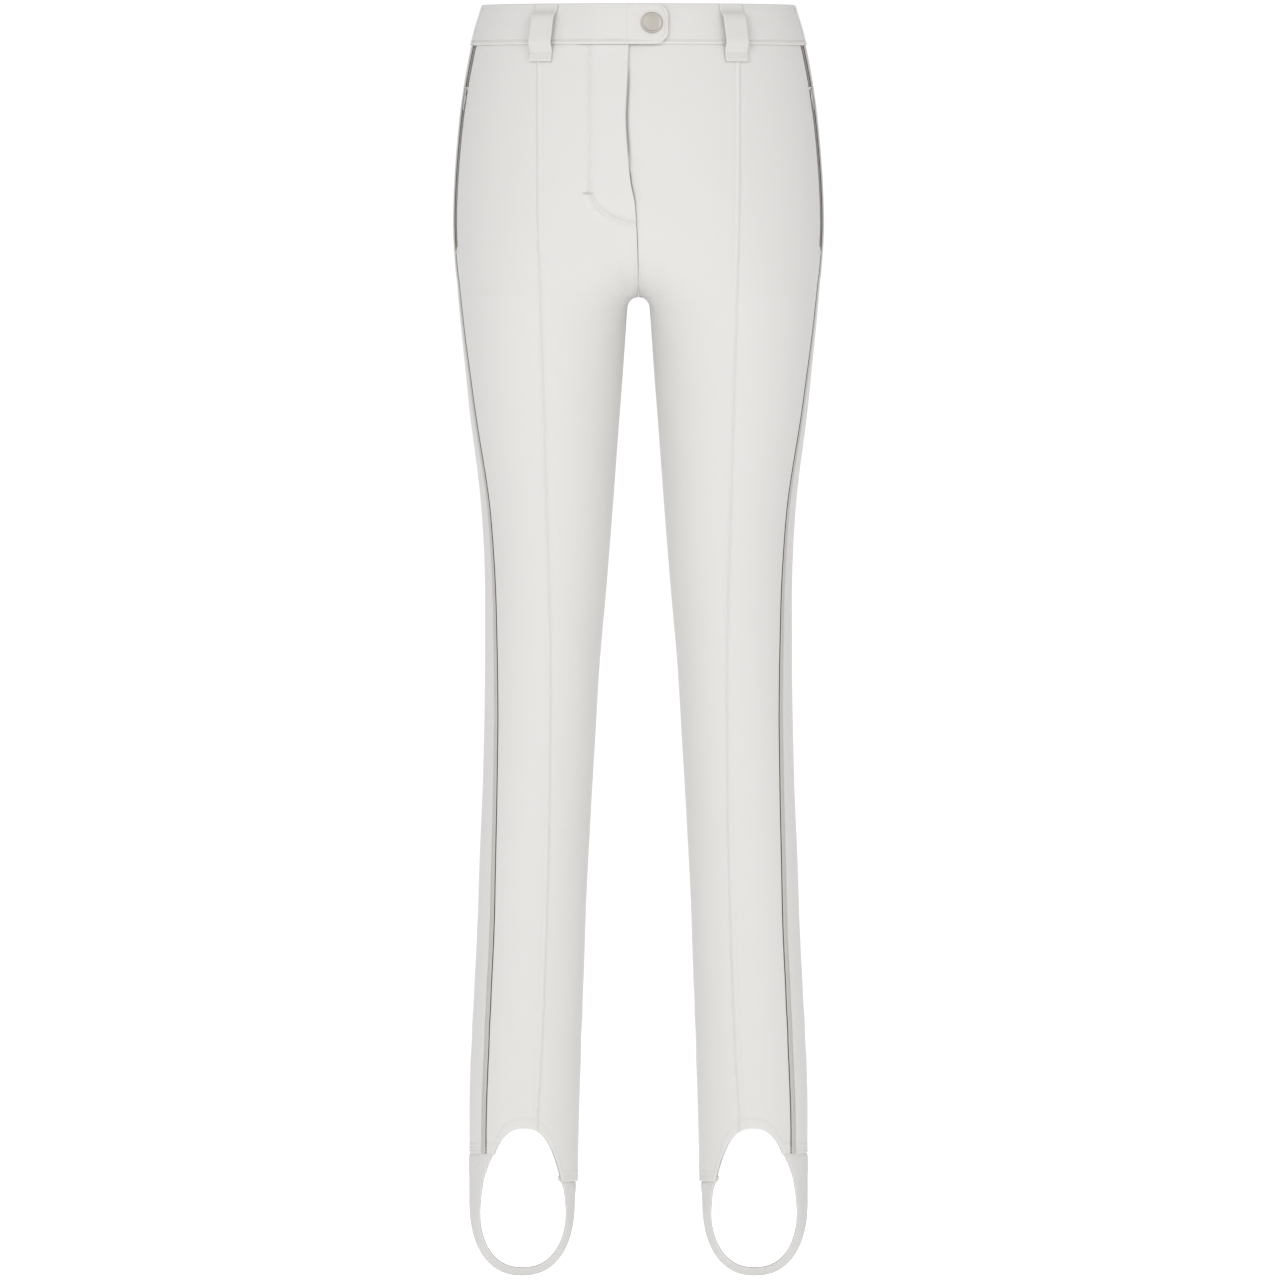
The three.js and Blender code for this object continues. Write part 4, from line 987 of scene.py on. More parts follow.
def front_band(name, node, mirrored, end, outer_lift, thick, drops, material, slot, shaped=True):
    columns = 64
    grid = np.broadcast_to(drops[:, None], (len(drops), columns))
    start = seam_angle(grid)
    share = np.append(np.linspace(0, 1, columns - 1)[:-1], [0.9993, 1.0])[None, :]
    angles = start + (band_end(end, grid) - start) * share
    across = share * 150.0 + 0 * grid
    lift = outer_lift + band_lift(skin(angles, grid)[..., 0], mirrored)
    rise = band_profile(grid) if shaped else 0 * grid
    ends = seam_profile(across, "seam") + (0 if mirrored else seam_profile(150 - across, "edge"))
    outer = past_centre(angles, grid, lift + rise + ends, mirrored)
    inner = past_centre(angles, grid, lift - thick - np.minimum(rise, 0) * 0.5, mirrored)
    piece = shell(name, outer, inner, np.stack([across, grid], -1))
    finish_piece(piece, "pants", material, [node])


def back_band(name, node, outer_lift, thick, drops, material, slot, shaped=True):
    half = 60
    share = np.concatenate([np.linspace(0, 1, half), np.linspace(1, 0, half)[1:]])
    grid = np.broadcast_to(drops[:, None], (len(drops), len(share)))
    start = seam_angle(grid)
    centre = angle_at_x(0.0, grid, True)
    angles = start + (centre - start) * share
    rise = band_profile(grid) if shaped else 0 * grid
    outer = on_skin(angles, grid, outer_lift + rise, worn=False)
    inner = on_skin(angles, grid, outer_lift - thick + 0 * grid, worn=False)
    for points in (outer, inner):
        points[:, half:, 0] *= -1
        points[..., 2] = -grid
    run = np.cumsum(np.linalg.norm(np.diff(outer[1], axis=0, prepend=outer[1][:1]), axis=1))
    piece = shell(name, outer, inner, np.stack([np.broadcast_to(run, grid.shape), grid], -1))
    finish_piece(piece, "pants", material, [node])


def tab_outline(x):
    from_end = TAB_LENGTH - x
    reach = np.clip(TAB_CORNER**2 - (TAB_CORNER - from_end) ** 2, 0, None)
    return np.where(from_end < TAB_CORNER, TAB_CORNER - np.sqrt(reach), 0.0)


def tab_face(x, drop, lift):
    """A point over the front, by its signed distance from the centre (+ is the wearer's left)."""
    angles = angle_at_x(np.abs(x), drop)
    points = on_skin(angles, drop, lift, worn=False)
    points[..., 0] = np.where(x < 0, -points[..., 0], points[..., 0])
    points[..., 2] = -drop
    return points


def make_tab():
    straight = np.append([0.0, 0.1], np.linspace(1.2, TAB_LENGTH - TAB_CORNER, 19))
    turn = np.radians(np.linspace(0, 90, 26))[1:]
    along = np.concatenate([straight, TAB_LENGTH - TAB_CORNER * (1 - np.sin(turn))])
    inset = tab_outline(along)
    share = BAND_DROPS / BAND_HEIGHT
    drops = inset + (BAND_HEIGHT - 2 * inset) * share[:, None]
    top, bottom = inset, BAND_HEIGHT - inset
    x = np.broadcast_to(SEAM_GAP / 2 - FLY_EDGE + along, drops.shape)
    edge = np.minimum(drops - top, bottom - drops)
    past_x = np.clip(TAB_CORNER - (TAB_LENGTH - along), 0, None)
    corner = TAB_CORNER - np.hypot(past_x, np.clip(TAB_CORNER - edge, 0, None))
    edge = np.where((TAB_LENGTH - along < TAB_CORNER) & (edge < TAB_CORNER), corner, edge)
    edge = np.clip(np.minimum(edge, TAB_LENGTH - along + 0 * edge), 0, None)
    round_off = 0.9 * np.exp(-((edge / 0.7) ** 2)) + 0.22 * np.exp(-(((edge - 3.2) / 0.7) ** 2))
    freed = ramp(along, 4, TAB_LENGTH - TAB_CORNER)
    relief_here = band_profile(drops) * (1 - freed) + (0.25 - round_off) * freed
    press = 0.35 * np.exp(-(((np.hypot(x - SNAP_AT, drops - BAND_HEIGHT / 2) - SNAP_RADIUS) / 1.6) ** 2))
    lift = BAND_PROUD + TAB_LIFT
    outer = tab_face(x, drops, lift + relief_here - press)
    inner = tab_face(x, drops, lift - BAND_THICK + 0.5 * np.exp(-((edge / 0.7) ** 2)))
    piece = shell("waistband_tab_cloth", outer, inner, np.stack([x, drops], -1))
    place = float(tab_face(np.array([0.0]), np.array([BAND_HEIGHT / 2]), lift)[0, 1]) * MM
    middle = -BAND_HEIGHT / 2 * MM
    fold_start = (-(FLY_EDGE + 0.4) * MM, place, middle)
    fold_end = (-(FLY_EDGE - 2.6) * MM, place, middle)
    fold = ("pants", "waistband_tab", fold_start, fold_end)
    finish_piece(piece, None, twill_finish(), ["waistband_tab"], blend=fold)
    margin = 3.2
    down = np.linspace(0, TAB_LENGTH - TAB_CORNER, 24)
    curve = np.radians(np.linspace(0, 90, 16))[1:]
    radius = TAB_CORNER - margin
    upper_x = np.concatenate([down, TAB_LENGTH - TAB_CORNER + radius * np.sin(curve)])
    upper_drop = np.concatenate([np.full(24, margin), TAB_CORNER - radius * np.cos(curve)])
    path_x = np.concatenate([upper_x, upper_x[::-1]]) + SEAM_GAP - FLY_EDGE
    path_drop = np.concatenate([upper_drop, BAND_HEIGHT - upper_drop[::-1]])
    seam = tab_face(path_x, path_drop, np.full(len(path_x), lift + THREAD_PROUD))
    stitches("tab_topstitching", [seam], blend=fold)


def make_waistband():
    cloth, lining = twill_finish(), lining_finish()
    face = (BAND_PROUD, BAND_THICK, BAND_DROPS, cloth, "ski_twill")
    front_band("waistband_left_cloth", "waistband_left", False, -BAND_UNDERLAP, *face)
    front_band("waistband_right_cloth", "waistband_right", True, FLY_EDGE - SEAM_GAP / 2 + 0.02, *face)
    back_band("waistband_back_cloth", "waistband_back", *face)
    facing = BAND_PROUD - BAND_THICK - 0.35
    drops = np.linspace(2, BAND_HEIGHT, 14)
    behind = (facing, FACING, drops, lining, "lining", False)
    front_band("facing_left_cloth", "waistband_facing_left", False, -BAND_UNDERLAP, *behind)
    front_band("facing_right_cloth", "waistband_facing_right", True, BAND_UNDERLAP + 1, *behind)
    back_band("facing_back_cloth", "waistband_facing_back", facing, FACING, drops, lining, "lining", False)
    make_tab()
    lines = []
    for level in (4.0, BAND_HEIGHT - 4.0):
        back = np.linspace(float(seam_angle(level)), float(angle_at_x(0.0, level, True)), 90)
        points = on_skin(back, np.full(90, level), BAND_PROUD + THREAD_PROUD, worn=False)
        lines.append(np.concatenate([points, points[::-1] * np.array([-1, 1, 1])]))
        for mirrored, end in ((False, 0.0), (True, FLY_EDGE + 1)):
            front = np.linspace(float(seam_angle(level)), float(angle_at_x(end, level)), 90)
            x = skin(front, np.full(90, level))[..., 0]
            lift = BAND_PROUD + THREAD_PROUD + band_lift(x, mirrored)
            lines.append(past_centre(front, np.full(90, level), lift, mirrored))
    stitches("waistband_topstitching", lines)
    make_label()


LABEL_HALF = 20
LABEL_TOP, LABEL_BOTTOM = 8, 30


def make_label():
    across = np.linspace(-LABEL_HALF, LABEL_HALF, 21)
    drops = np.linspace(LABEL_TOP, LABEL_BOTTOM, 9)
    grid = np.broadcast_to(drops[:, None], (9, 21))
    x = np.broadcast_to(across, (9, 21))
    lift = BAND_PROUD - BAND_THICK - 0.35 - FACING - 0.3
    bow = 0.3 * np.cos(x / LABEL_HALF * np.pi / 2)
    faces = []
    for offset in (0.0, 0.45):
        points = on_skin(angle_at_x(np.abs(x), grid, True), grid, lift - offset - bow, worn=False)
        points[..., 0] = np.where(x < 0, -points[..., 0], points[..., 0])
        faces.append(points)
    piece = shell("back_label_cloth", faces[0], faces[1], np.stack([x, grid], -1))
    finish_piece(piece, "pants", lining_finish(), ["back_label"])


# ---- Belt loops --------------------------------------------------------------------------------


def loop_route():
    """The loop's side view as (drop, lift), rounded where it leaves and meets the band."""
    rest = BAND_PROUD + LAYER_GAP
    out = rest + BELT_ROOM
    corners = [(0.5, rest), (5, rest + 0.1), (8.5, rest + 2.2), (12, out), (24, out + 0.3), (34, out),
               (38.5, rest + 2.4), (42, rest + 0.3), (46, rest), (LOOP_DROP, rest)]
    knots = np.array(corners)
    t = np.arange(len(knots))
    fine = np.linspace(0, len(knots) - 1, 70)
    return np.stack([profile(*zip(t, knots[:, k]))(fine) for k in (0, 1)], -1)


def make_loop(name, node, across_at, slant, at_back, mirrored):
    route = loop_route()
    along = np.gradient(route, axis=0)
    along /= np.linalg.norm(along, axis=1, keepdims=True)
    outward = np.stack([-along[:, 1], along[:, 0]], -1)
    outward *= np.sign(outward[:, 1:2] + 1e-9)
    middle = LOOP_DROP / 2
    angle = angle_at_x(across_at, middle, at_back)
    out = normal(angle, middle) * np.array([1, 1, 0])
    out /= np.linalg.norm(out)
    tangent = np.array([-out[1], out[0], 0])
    rim = np.array([0, 0.3, 0.8, 1.5])
    width = np.concatenate([rim, np.linspace(2.6, LOOP_WIDTH - 2.6, 9), LOOP_WIDTH - rim[::-1]])
    edge = np.minimum(width, LOOP_WIDTH - width)
    round_off = 0.7 * np.exp(-((edge / 0.5) ** 2)) + 0.2 * np.exp(-(((edge - 3.0) / 0.7) ** 2))
    seam = 0.35 * np.exp(-(((route[:, 0] - 46.5) / 0.9) ** 2))
    fold = 0.9 * ramp(route[:, 0], 43, 46) * (1 - 0.8 * ramp(route[:, 0], LOOP_DROP - 1, LOOP_DROP))
    thick = LOOP_THICK - round_off[None, :] - seam[:, None] + fold[:, None]

    def lay(offset):
        drop = route[:, 0:1] + outward[:, 0:1] * offset * 0.9
        lift = route[:, 1:2] + outward[:, 1:2] * offset
        x = across_at + slant * (drop / LOOP_DROP - 0.5)
        points = skin(angle_at_x(x, np.clip(drop, 0, None), at_back), drop) + lift[..., None] * out
        points = points + ((width - LOOP_WIDTH / 2)[None, :, None]) * tangent
        points[..., 2] = -np.clip(drop, 0.4, None)
        if mirrored:
            points[..., 0] *= -1
        return points

    outer = lay(thick)
    inner = lay(0.25 * np.exp(-((edge / 0.5) ** 2))[None, :] + 0 * thick)
    run = np.cumsum(np.linalg.norm(np.diff(route, axis=0, prepend=route[:1]), axis=1))
    uv = np.stack([np.broadcast_to(width, thick.shape), np.broadcast_to(run[:, None], thick.shape)], -1)
    piece = shell(name, outer, inner, uv)
    finish_piece(piece, "pants", warm_finish(), [node])
    side_rows = slice(4, 64)
    lines = [lay(thick + 0.02)[side_rows, k] for k in (4, -5)]
    sewn_rows = [int(np.argmin(abs(route[:, 0] - level))) for level in (46.5, 4)]
    bars = [lay(thick + 0.02)[row, 1:-1] for row in sewn_rows]
    return lines + bars


def make_loops():
    lines = []
    for side, mirrored in (("left", False), ("right", True)):
        front, back = f"belt_loop_front_{side}", f"belt_loop_back_{side}"
        lines += make_loop(f"{front}_cloth", front, FRONT_LOOP, FRONT_LOOP_SLANT, False, mirrored)
        lines += make_loop(f"{back}_cloth", back, BACK_LOOP, 0, True, mirrored)
    lines += make_loop("belt_loop_centre_back_cloth", "belt_loop_centre_back", 0.0, 0, True, False)
    stitches("belt_loop_stitching", lines, Thread=0.22 * MM)


# ---- Zips --------------------------------------------------------------------------------------

SLIDER_UNDER = 1.75 + 0.45
BAG_THICK = 1.2


class Track:
    """A zip's path: an arc of a circle in an upright plane, turned by a lean about its own length."""

    def __init__(self, points, outwards, sideways, lean):
        flat = np.stack([points @ outwards, points[:, 2]], -1)
        (ax, az), (bx, bz), (cx, cz) = flat
        d = 2 * (ax * (bz - cz) + bx * (cz - az) + cx * (az - bz))
        square = (flat**2).sum(1)
        u = (square[0] * (bz - cz) + square[1] * (cz - az) + square[2] * (az - bz)) / d
        w = (square[0] * (cx - bx) + square[1] * (ax - cx) + square[2] * (bx - ax)) / d
        self.centre = outwards * u + np.array([0, 0, w]) + sideways * (points[0] @ sideways)
        self.radius = math.hypot(ax - u, az - w)
        self.outwards, self.sideways, self.lean = outwards, sideways, lean

    def radial(self, drop):
        turn = np.arcsin((-np.asarray(drop, float) - self.centre[2]) / self.radius)
        return np.cos(turn)[..., None] * self.outwards + np.sin(turn)[..., None] * np.array([0, 0, 1.0])

    def out(self, drop):
        return self.radial(drop) * math.cos(self.lean) + self.sideways * math.sin(self.lean)

    def at(self, drop, across, lift):
        drop, across, lift = np.broadcast_arrays(np.asarray(drop, float), across, lift)
        c, s = math.cos(self.lean), math.sin(self.lean)
        reach = self.radius + lift * c - across * s
        aside = self.sideways * (across * c + lift * s)[..., None]
        return self.centre + self.radial(drop) * reach[..., None] + aside


def pocket_track(mirrored):
    forward = PIPING_ROOM + SLOT_WIDTH / 2
    drops = np.array([POCKET_TOP, (POCKET_TOP + POCKET_BOTTOM) / 2, POCKET_BOTTOM])
    angles = shifted(seam_angle(drops), drops, forward)
    points = on_skin(angles, drops, np.full(3, -POCKET_DEPTH), worn=False)
    points[:, 1] = points[:, 1].mean()
    facing = normal(angles[1], drops[1])
    side = -1.0 if mirrored else 1.0
    points[:, 0] *= side
    lean = math.atan2(-facing[1], facing[0])
    return Track(points, np.array([side, 0, 0.0]), np.array([0, -1.0, 0]), lean)


FLY_FACING_BACK = -FABRIC - LOOSE_GAP - FACING
FLY_DEPTH = -FLY_FACING_BACK + LOOSE_GAP + (1 + 0.3 + 0.9 + 1.5) + 1.1


def fly_track():
    top, bottom = BAND_HEIGHT + 2, FLY_LENGTH - 6
    drops = np.array([top, (top + bottom) / 2, bottom])
    points = on_skin(angle_at_x(FLY_ZIP, drops), drops, np.full(3, -FLY_DEPTH), True, worn=False)
    points[:, 0] = -FLY_ZIP
    return Track(points, np.array([0, -1.0, 0]), np.array([1.0, 0, 0]), 0.0)


def zip_tape(track, name, node, side, top, bottom):
    drops = np.linspace(top, bottom, 60)[:, None]
    across = np.array([TEETH_OUTER - 1.6, TEETH_OUTER, 4.0, 6.0, 8.0, TEETH_OUTER + TAPE_WIDTH])
    edge = np.array([0.9, 0.0, 0.0, 0.0, 0.0, 0.0])
    grid = np.broadcast_to(across, (60, len(across)))
    thick = 0.4
    outer = track.at(drops, side * grid, thick * 0.5 + edge * 0.2)
    inner = track.at(drops, side * grid, -thick * 0.5 - edge * 0.2)
    uv = np.stack([grid, np.broadcast_to(drops, grid.shape)], -1)
    piece = shell(name, outer, inner, uv)
    finish_piece(piece, "pants", tape_finish(), [node])


def zip_teeth(track, name, node, side, top, bottom):
    start = top + 3 + (0.75 if side > 0 else 0.0)
    drops = np.arange(start, bottom - 3, 1.5)
    middle = side * (TEETH_OUTER + TEETH_INNER) / 2
    line = polyline([track.at(drops, np.full(len(drops), middle), np.zeros(len(drops)))])
    out = line.data.attributes.new("out", "FLOAT_VECTOR", "POINT")
    out.data.foreach_set("vector", track.out(drops).astype(np.float32).ravel())
    tree = bpy.data.node_groups.get("Zip Teeth") or teeth_tree()
    width = (TEETH_OUTER - TEETH_INNER) * MM
    finish = metal_finish("darkened zip teeth", tuple(colours().teeth))
    piece = grown(line, tree, name, finish, **{"Tooth Width": width})
    finish_piece(piece, "pants", None, [node])


def softened(node, body, width=0.00018):
    """A copy of a metal piece with its sharp edges rounded off."""
    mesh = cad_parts[node].data.copy()
    mesh.name = f"{node}_metal"
    bm = bmesh.new()
    bm.from_mesh(mesh)
    bmesh.ops.remove_doubles(bm, verts=bm.verts, dist=1e-6)
    bmesh.ops.dissolve_limit(bm, angle_limit=0.02, verts=bm.verts, edges=bm.edges)
    bm.to_mesh(mesh)
    bm.free()
    piece = placed(f"{node}_metal", mesh)
    bevel = piece.modifiers.new("soft edges", "BEVEL")
    bevel.width = width
    bevel.segments = 3
    bevel.limit_method = "ANGLE"
    bevel.angle_limit = 0.6
    bevel.use_clamp_overlap = True
    bpy.context.view_layer.update()
    evaluated = piece.evaluated_get(bpy.context.evaluated_depsgraph_get())
    baked = bpy.data.meshes.new_from_object(evaluated)
    piece.modifiers.clear()
    piece.data = baked
    baked.shade_smooth()
    baked.set_sharp_from_angle(angle=0.7)
    return finish_piece(piece, body, metal_finish(), [node])


def make_zip(name, sides, track, top, bottom, tape_top):
    for sign, side in zip((1, -1), sides):
        zip_tape(track, f"{name}_tape_{side}_cloth", f"{name}_tape_{side}", sign, tape_top, bottom + 6)
        zip_teeth(track, f"{name}_teeth_{side}_metal", f"{name}_teeth_{side}", sign, top, bottom)
    softened(f"{name}_top_stop", "pants")
    softened(f"{name}_bottom_stop", "pants")
    softened(f"{name}_slider", f"{name}_slider")
    softened(f"{name}_pull", f"{name}_pull")


def make_pocket_bag(side, mirrored):
    drop_share = np.linspace(0, 1, 30)[:, None]
    share = np.linspace(0, 1, 20)[None, :]
    bottom = 262 - 24 * np.abs(share - 0.5)
    drops = BAND_HEIGHT + 4 + (bottom - BAND_HEIGHT - 4) * drop_share
    reach = -PIPING_ROOM + 4 + 62 * share + 0 * drops
    angles = shifted(seam_angle(np.minimum(drops, POCKET_BOTTOM - 14)), drops, reach)
    lift = -(POCKET_DEPTH + SLIDER_UNDER + 1.2)
    puff = 0.35 * np.sin(np.pi * share) * np.sin(np.pi * drop_share)
    outer = on_skin(angles, drops, lift + puff, mirrored, worn=False)
    inner = on_skin(angles, drops, lift - BAG_THICK - puff, mirrored, worn=False)
    piece = shell(f"{side}_pocket_bag_cloth", outer, inner, np.stack([reach, drops], -1))
    finish_piece(piece, "pants", lining_finish(), [f"{side}_pocket_bag"])


def make_pocket(side, mirrored):
    track = pocket_track(mirrored)
    make_zip(f"{side}_pocket", ("front", "back"), track, POCKET_TOP, POCKET_BOTTOM - 2, BAND_HEIGHT + 2)
    make_pocket_bag(side, mirrored)
    drops = np.linspace(BAND_HEIGHT + 3, POCKET_BOTTOM + 4, 120)
    beside = shifted(seam_angle(drops), drops, PIPING_SHOWN / 2 + 0.7 * SLOT_WIDTH + 2.2)
    line = on_skin(beside, drops, np.full(120, 0.1), mirrored)
    tack_drop = np.full(8, POCKET_BOTTOM + 4.0)
    tack_angle = shifted(seam_angle(tack_drop), tack_drop, np.linspace(2.6, SLOT_WIDTH + 1.0, 8))
    tacks = [on_skin(tack_angle, tack_drop + k, np.full(8, -0.05), mirrored) for k in (-0.6, 0.0, 0.6)]
    stitches(f"{side}_pocket_stitching", [line])
    stitches(f"{side}_pocket_bar_tack", tacks, Stitch=1.4 * MM, Pitch=1.2 * MM, Thread=0.3 * MM)


# ---- Fly ---------------------------------------------------------------------------------------


def on_right_front(x, drops, lift):
    """Points over the wearer's right front, by their distance from the centre."""
    return on_skin(angle_at_x(x, drops), drops, lift, True)


def make_fly():
    make_zip("fly", ("left", "right"), fly_track(), BAND_HEIGHT + 2, FLY_LENGTH - 6, BAND_HEIGHT + 1)
    share = np.linspace(0, 1, 16)[None, :]
    down = np.linspace(0, 1, 44)[:, None]
    bottom = FLY_LENGTH + FLY_CURVE * (1 - share**2)
    drops = BAND_HEIGHT + 1 + (bottom - BAND_HEIGHT - 1) * down
    x = FLY_UNDERLAP + LOOSE_GAP + (FLY_STITCH - FLY_UNDERLAP - LOOSE_GAP) * share + 0 * drops
    lifts = (FLY_FACING_BACK + FACING, FLY_FACING_BACK)
    faces = [on_right_front(x, drops, np.full(x.shape, lift)) for lift in lifts]
    piece = shell("fly_facing_cloth", *faces, np.stack([x, drops], -1))
    finish_piece(piece, "pants", lining_finish(), ["fly_facing"])
    drops = np.broadcast_to(np.linspace(BAND_HEIGHT + 1, FLY_LENGTH + 12, 40)[:, None], (40, 14))
    x = np.broadcast_to(np.linspace(FLY_ZIP + 17, FLY_ZIP - 17, 14), (40, 14))
    lift = -(FLY_DEPTH + SLIDER_UNDER + 0.7)
    faces = [on_right_front(x, drops, np.full(x.shape, lift - k)) for k in (0.0, BAG_THICK)]
    piece = shell("fly_shield_cloth", *faces, np.stack([x, drops], -1))
    finish_piece(piece, "pants", lining_finish(), ["fly_shield"])
    straight = np.linspace(BAND_HEIGHT + 2, FLY_LENGTH - 6, 70)
    curve = FLY_LENGTH - 6 + (FLY_CURVE + 6) * np.sin(np.radians(np.linspace(2, 88, 30)))
    drops = np.concatenate([straight, curve])
    lines = []
    for inset in (0.0, 1.7):
        x = np.clip(fly_stitch_line(drops) - inset, 1.0, None)
        lines.append(on_right_front(x, drops, right_front_lift(x, drops) + THREAD_PROUD))
    stitches("fly_topstitching", lines, Thread=0.24 * MM)
    edge_drops = np.linspace(BAND_HEIGHT + 2, FLY_LENGTH - 20, 70)
    edge_x = right_fly_edge(edge_drops) + 2.0
    tack_x = np.linspace(-3.8, 3.8, 9) + FLY_STITCH + 1.3
    bars = []
    for row in (-0.6, 0.0, 0.6):
        tack_drop = np.full(9, FLY_LENGTH + 2 + row)
        bars.append(on_right_front(tack_x, tack_drop, right_front_lift(tack_x, tack_drop) + 0.3))
    stitches("fly_bar_tack", bars, Stitch=1.4 * MM, Pitch=1.1 * MM, Thread=0.3 * MM)
    edge_line = on_right_front(edge_x, edge_drops, fly_lift(edge_x, edge_drops) + 0.05)
    stitches("fly_edge_stitching", [edge_line], Thread=0.2 * MM)


# ---- Snap --------------------------------------------------------------------------------------


def turned(name, outline, sides=72):
    """A turned metal piece standing on the tab at the snap, from (radius, height) points."""
    angle = float(angle_at_x(SNAP_AT, BAND_HEIGHT / 2))
    foot = skin(angle, BAND_HEIGHT / 2)
    out = Vector(normal(angle, BAND_HEIGHT / 2))
    turn = out.to_track_quat("Z", "Y").to_matrix()
    bm = bmesh.new()
    rings = []
    for radius, height in outline:
        if radius < 1e-6:
            rings.append([bm.verts.new((0, 0, height * MM))])
            continue
        spots = [2 * math.pi * k / sides for k in range(sides)]
        ring = [(radius * math.cos(a), radius * math.sin(a), height) for a in spots]
        rings.append([bm.verts.new((x * MM, y * MM, z * MM)) for x, y, z in ring])
    for low, high in zip(rings, rings[1:]):
        for k in range(sides):
            n = (k + 1) % sides
            corners = [low[k % len(low)], low[n % len(low)], high[n % len(high)], high[k % len(high)]]
            bm.faces.new(list(dict.fromkeys(corners)))
    bmesh.ops.recalc_face_normals(bm, faces=bm.faces)
    mesh = bpy.data.meshes.new(name)
    bm.to_mesh(mesh)
    bm.free()
    mesh.transform(Matrix.Translation(Vector(foot) * MM) @ turn.to_4x4())
    mesh.shade_smooth()
    mesh.set_sharp_from_angle(angle=0.9)
    return placed(name, mesh)


def make_snap():
    base = BAND_PROUD + TAB_LIFT + 0.15
    r = SNAP_RADIUS
    arc = [(r - 0.7 + 0.7 * math.cos(a), base + 0.8 + 0.8 * math.sin(a)) for a in np.linspace(-1.3, 1.35, 9)]
    dish = [(r - 1.5, base + 1.5), (r - 2.1, base + 1.22), (r - 2.6, base + 1.12), (r - 3.1, base + 1.22)]
    crown = [(k, base + 1.22 + 0.3 * (1 - (k / (r - 3.1)) ** 2)) for k in np.linspace(r - 3.4, 0.5, 9)]
    shank = BAND_PROUD + LAYER_GAP + 1.2
    outline = [(0, shank), (1.6, shank), (1.6, base - 0.1), (r - 0.9, base - 0.02)]
    outline += arc + dish + crown + [(0, base + 1.52)]
    piece = turned("snap_cap_metal", outline)
    matt = metal_finish("matt snap plating", tuple(colours().snap), 0.38)
    finish_piece(piece, "waistband_tab", matt, ["snap_cap"])
    softened("snap_socket", "waistband_tab", 0.0001)
    softened("snap_stud", "pants", 0.0001)
    softened("snap_post", "pants", 0.0001)


# ---- Stirrups ----------------------------------------------------------------------------------

STRAP_CENTRE = (148.7 + 53.2) / 2 + 1.5
STRAP_REACH = 148.7 - STRAP_CENTRE + 0.3
STRAP_TURN = HEM_DROP + 42.0
STRAP_DEPTH = 66.0
STRAP_THICK = 2.0
STRAP_HALF = 22
FLARE_OUTER, FLARE_INNER = 16.1, 9.9
BEND_START, BEND_END = 1, 72
RIB_WIDTH = 3.0


def strap_line(share):
    """The strap's middle line in the front view, from 0 at the outer seam to 1 at the inner."""
    share = np.asarray(share, float)
    outer_straight, inner_straight = 0.16, 0.92
    turn = np.clip((share - outer_straight) / (inner_straight - outer_straight), 0, 1) * np.pi
    power = 2 / 2.3
    x = STRAP_CENTRE + STRAP_REACH * np.sign(np.cos(turn)) * np.abs(np.cos(turn)) ** power
    drop = STRAP_TURN + STRAP_DEPTH * np.clip(np.sin(turn), 0, 1) ** power
    drop = np.where(share < outer_straight, HEM_DROP + (STRAP_TURN - HEM_DROP) * share / outer_straight, drop)
    rise = np.clip((share - inner_straight) / (1 - inner_straight), 0, 1)
    drop = np.where(share > inner_straight, STRAP_TURN + (INNER_HEM_DROP - STRAP_TURN) * rise, drop)
    x = x - 1.5 * rise
    return np.stack([x, np.zeros_like(x), -drop], -1)


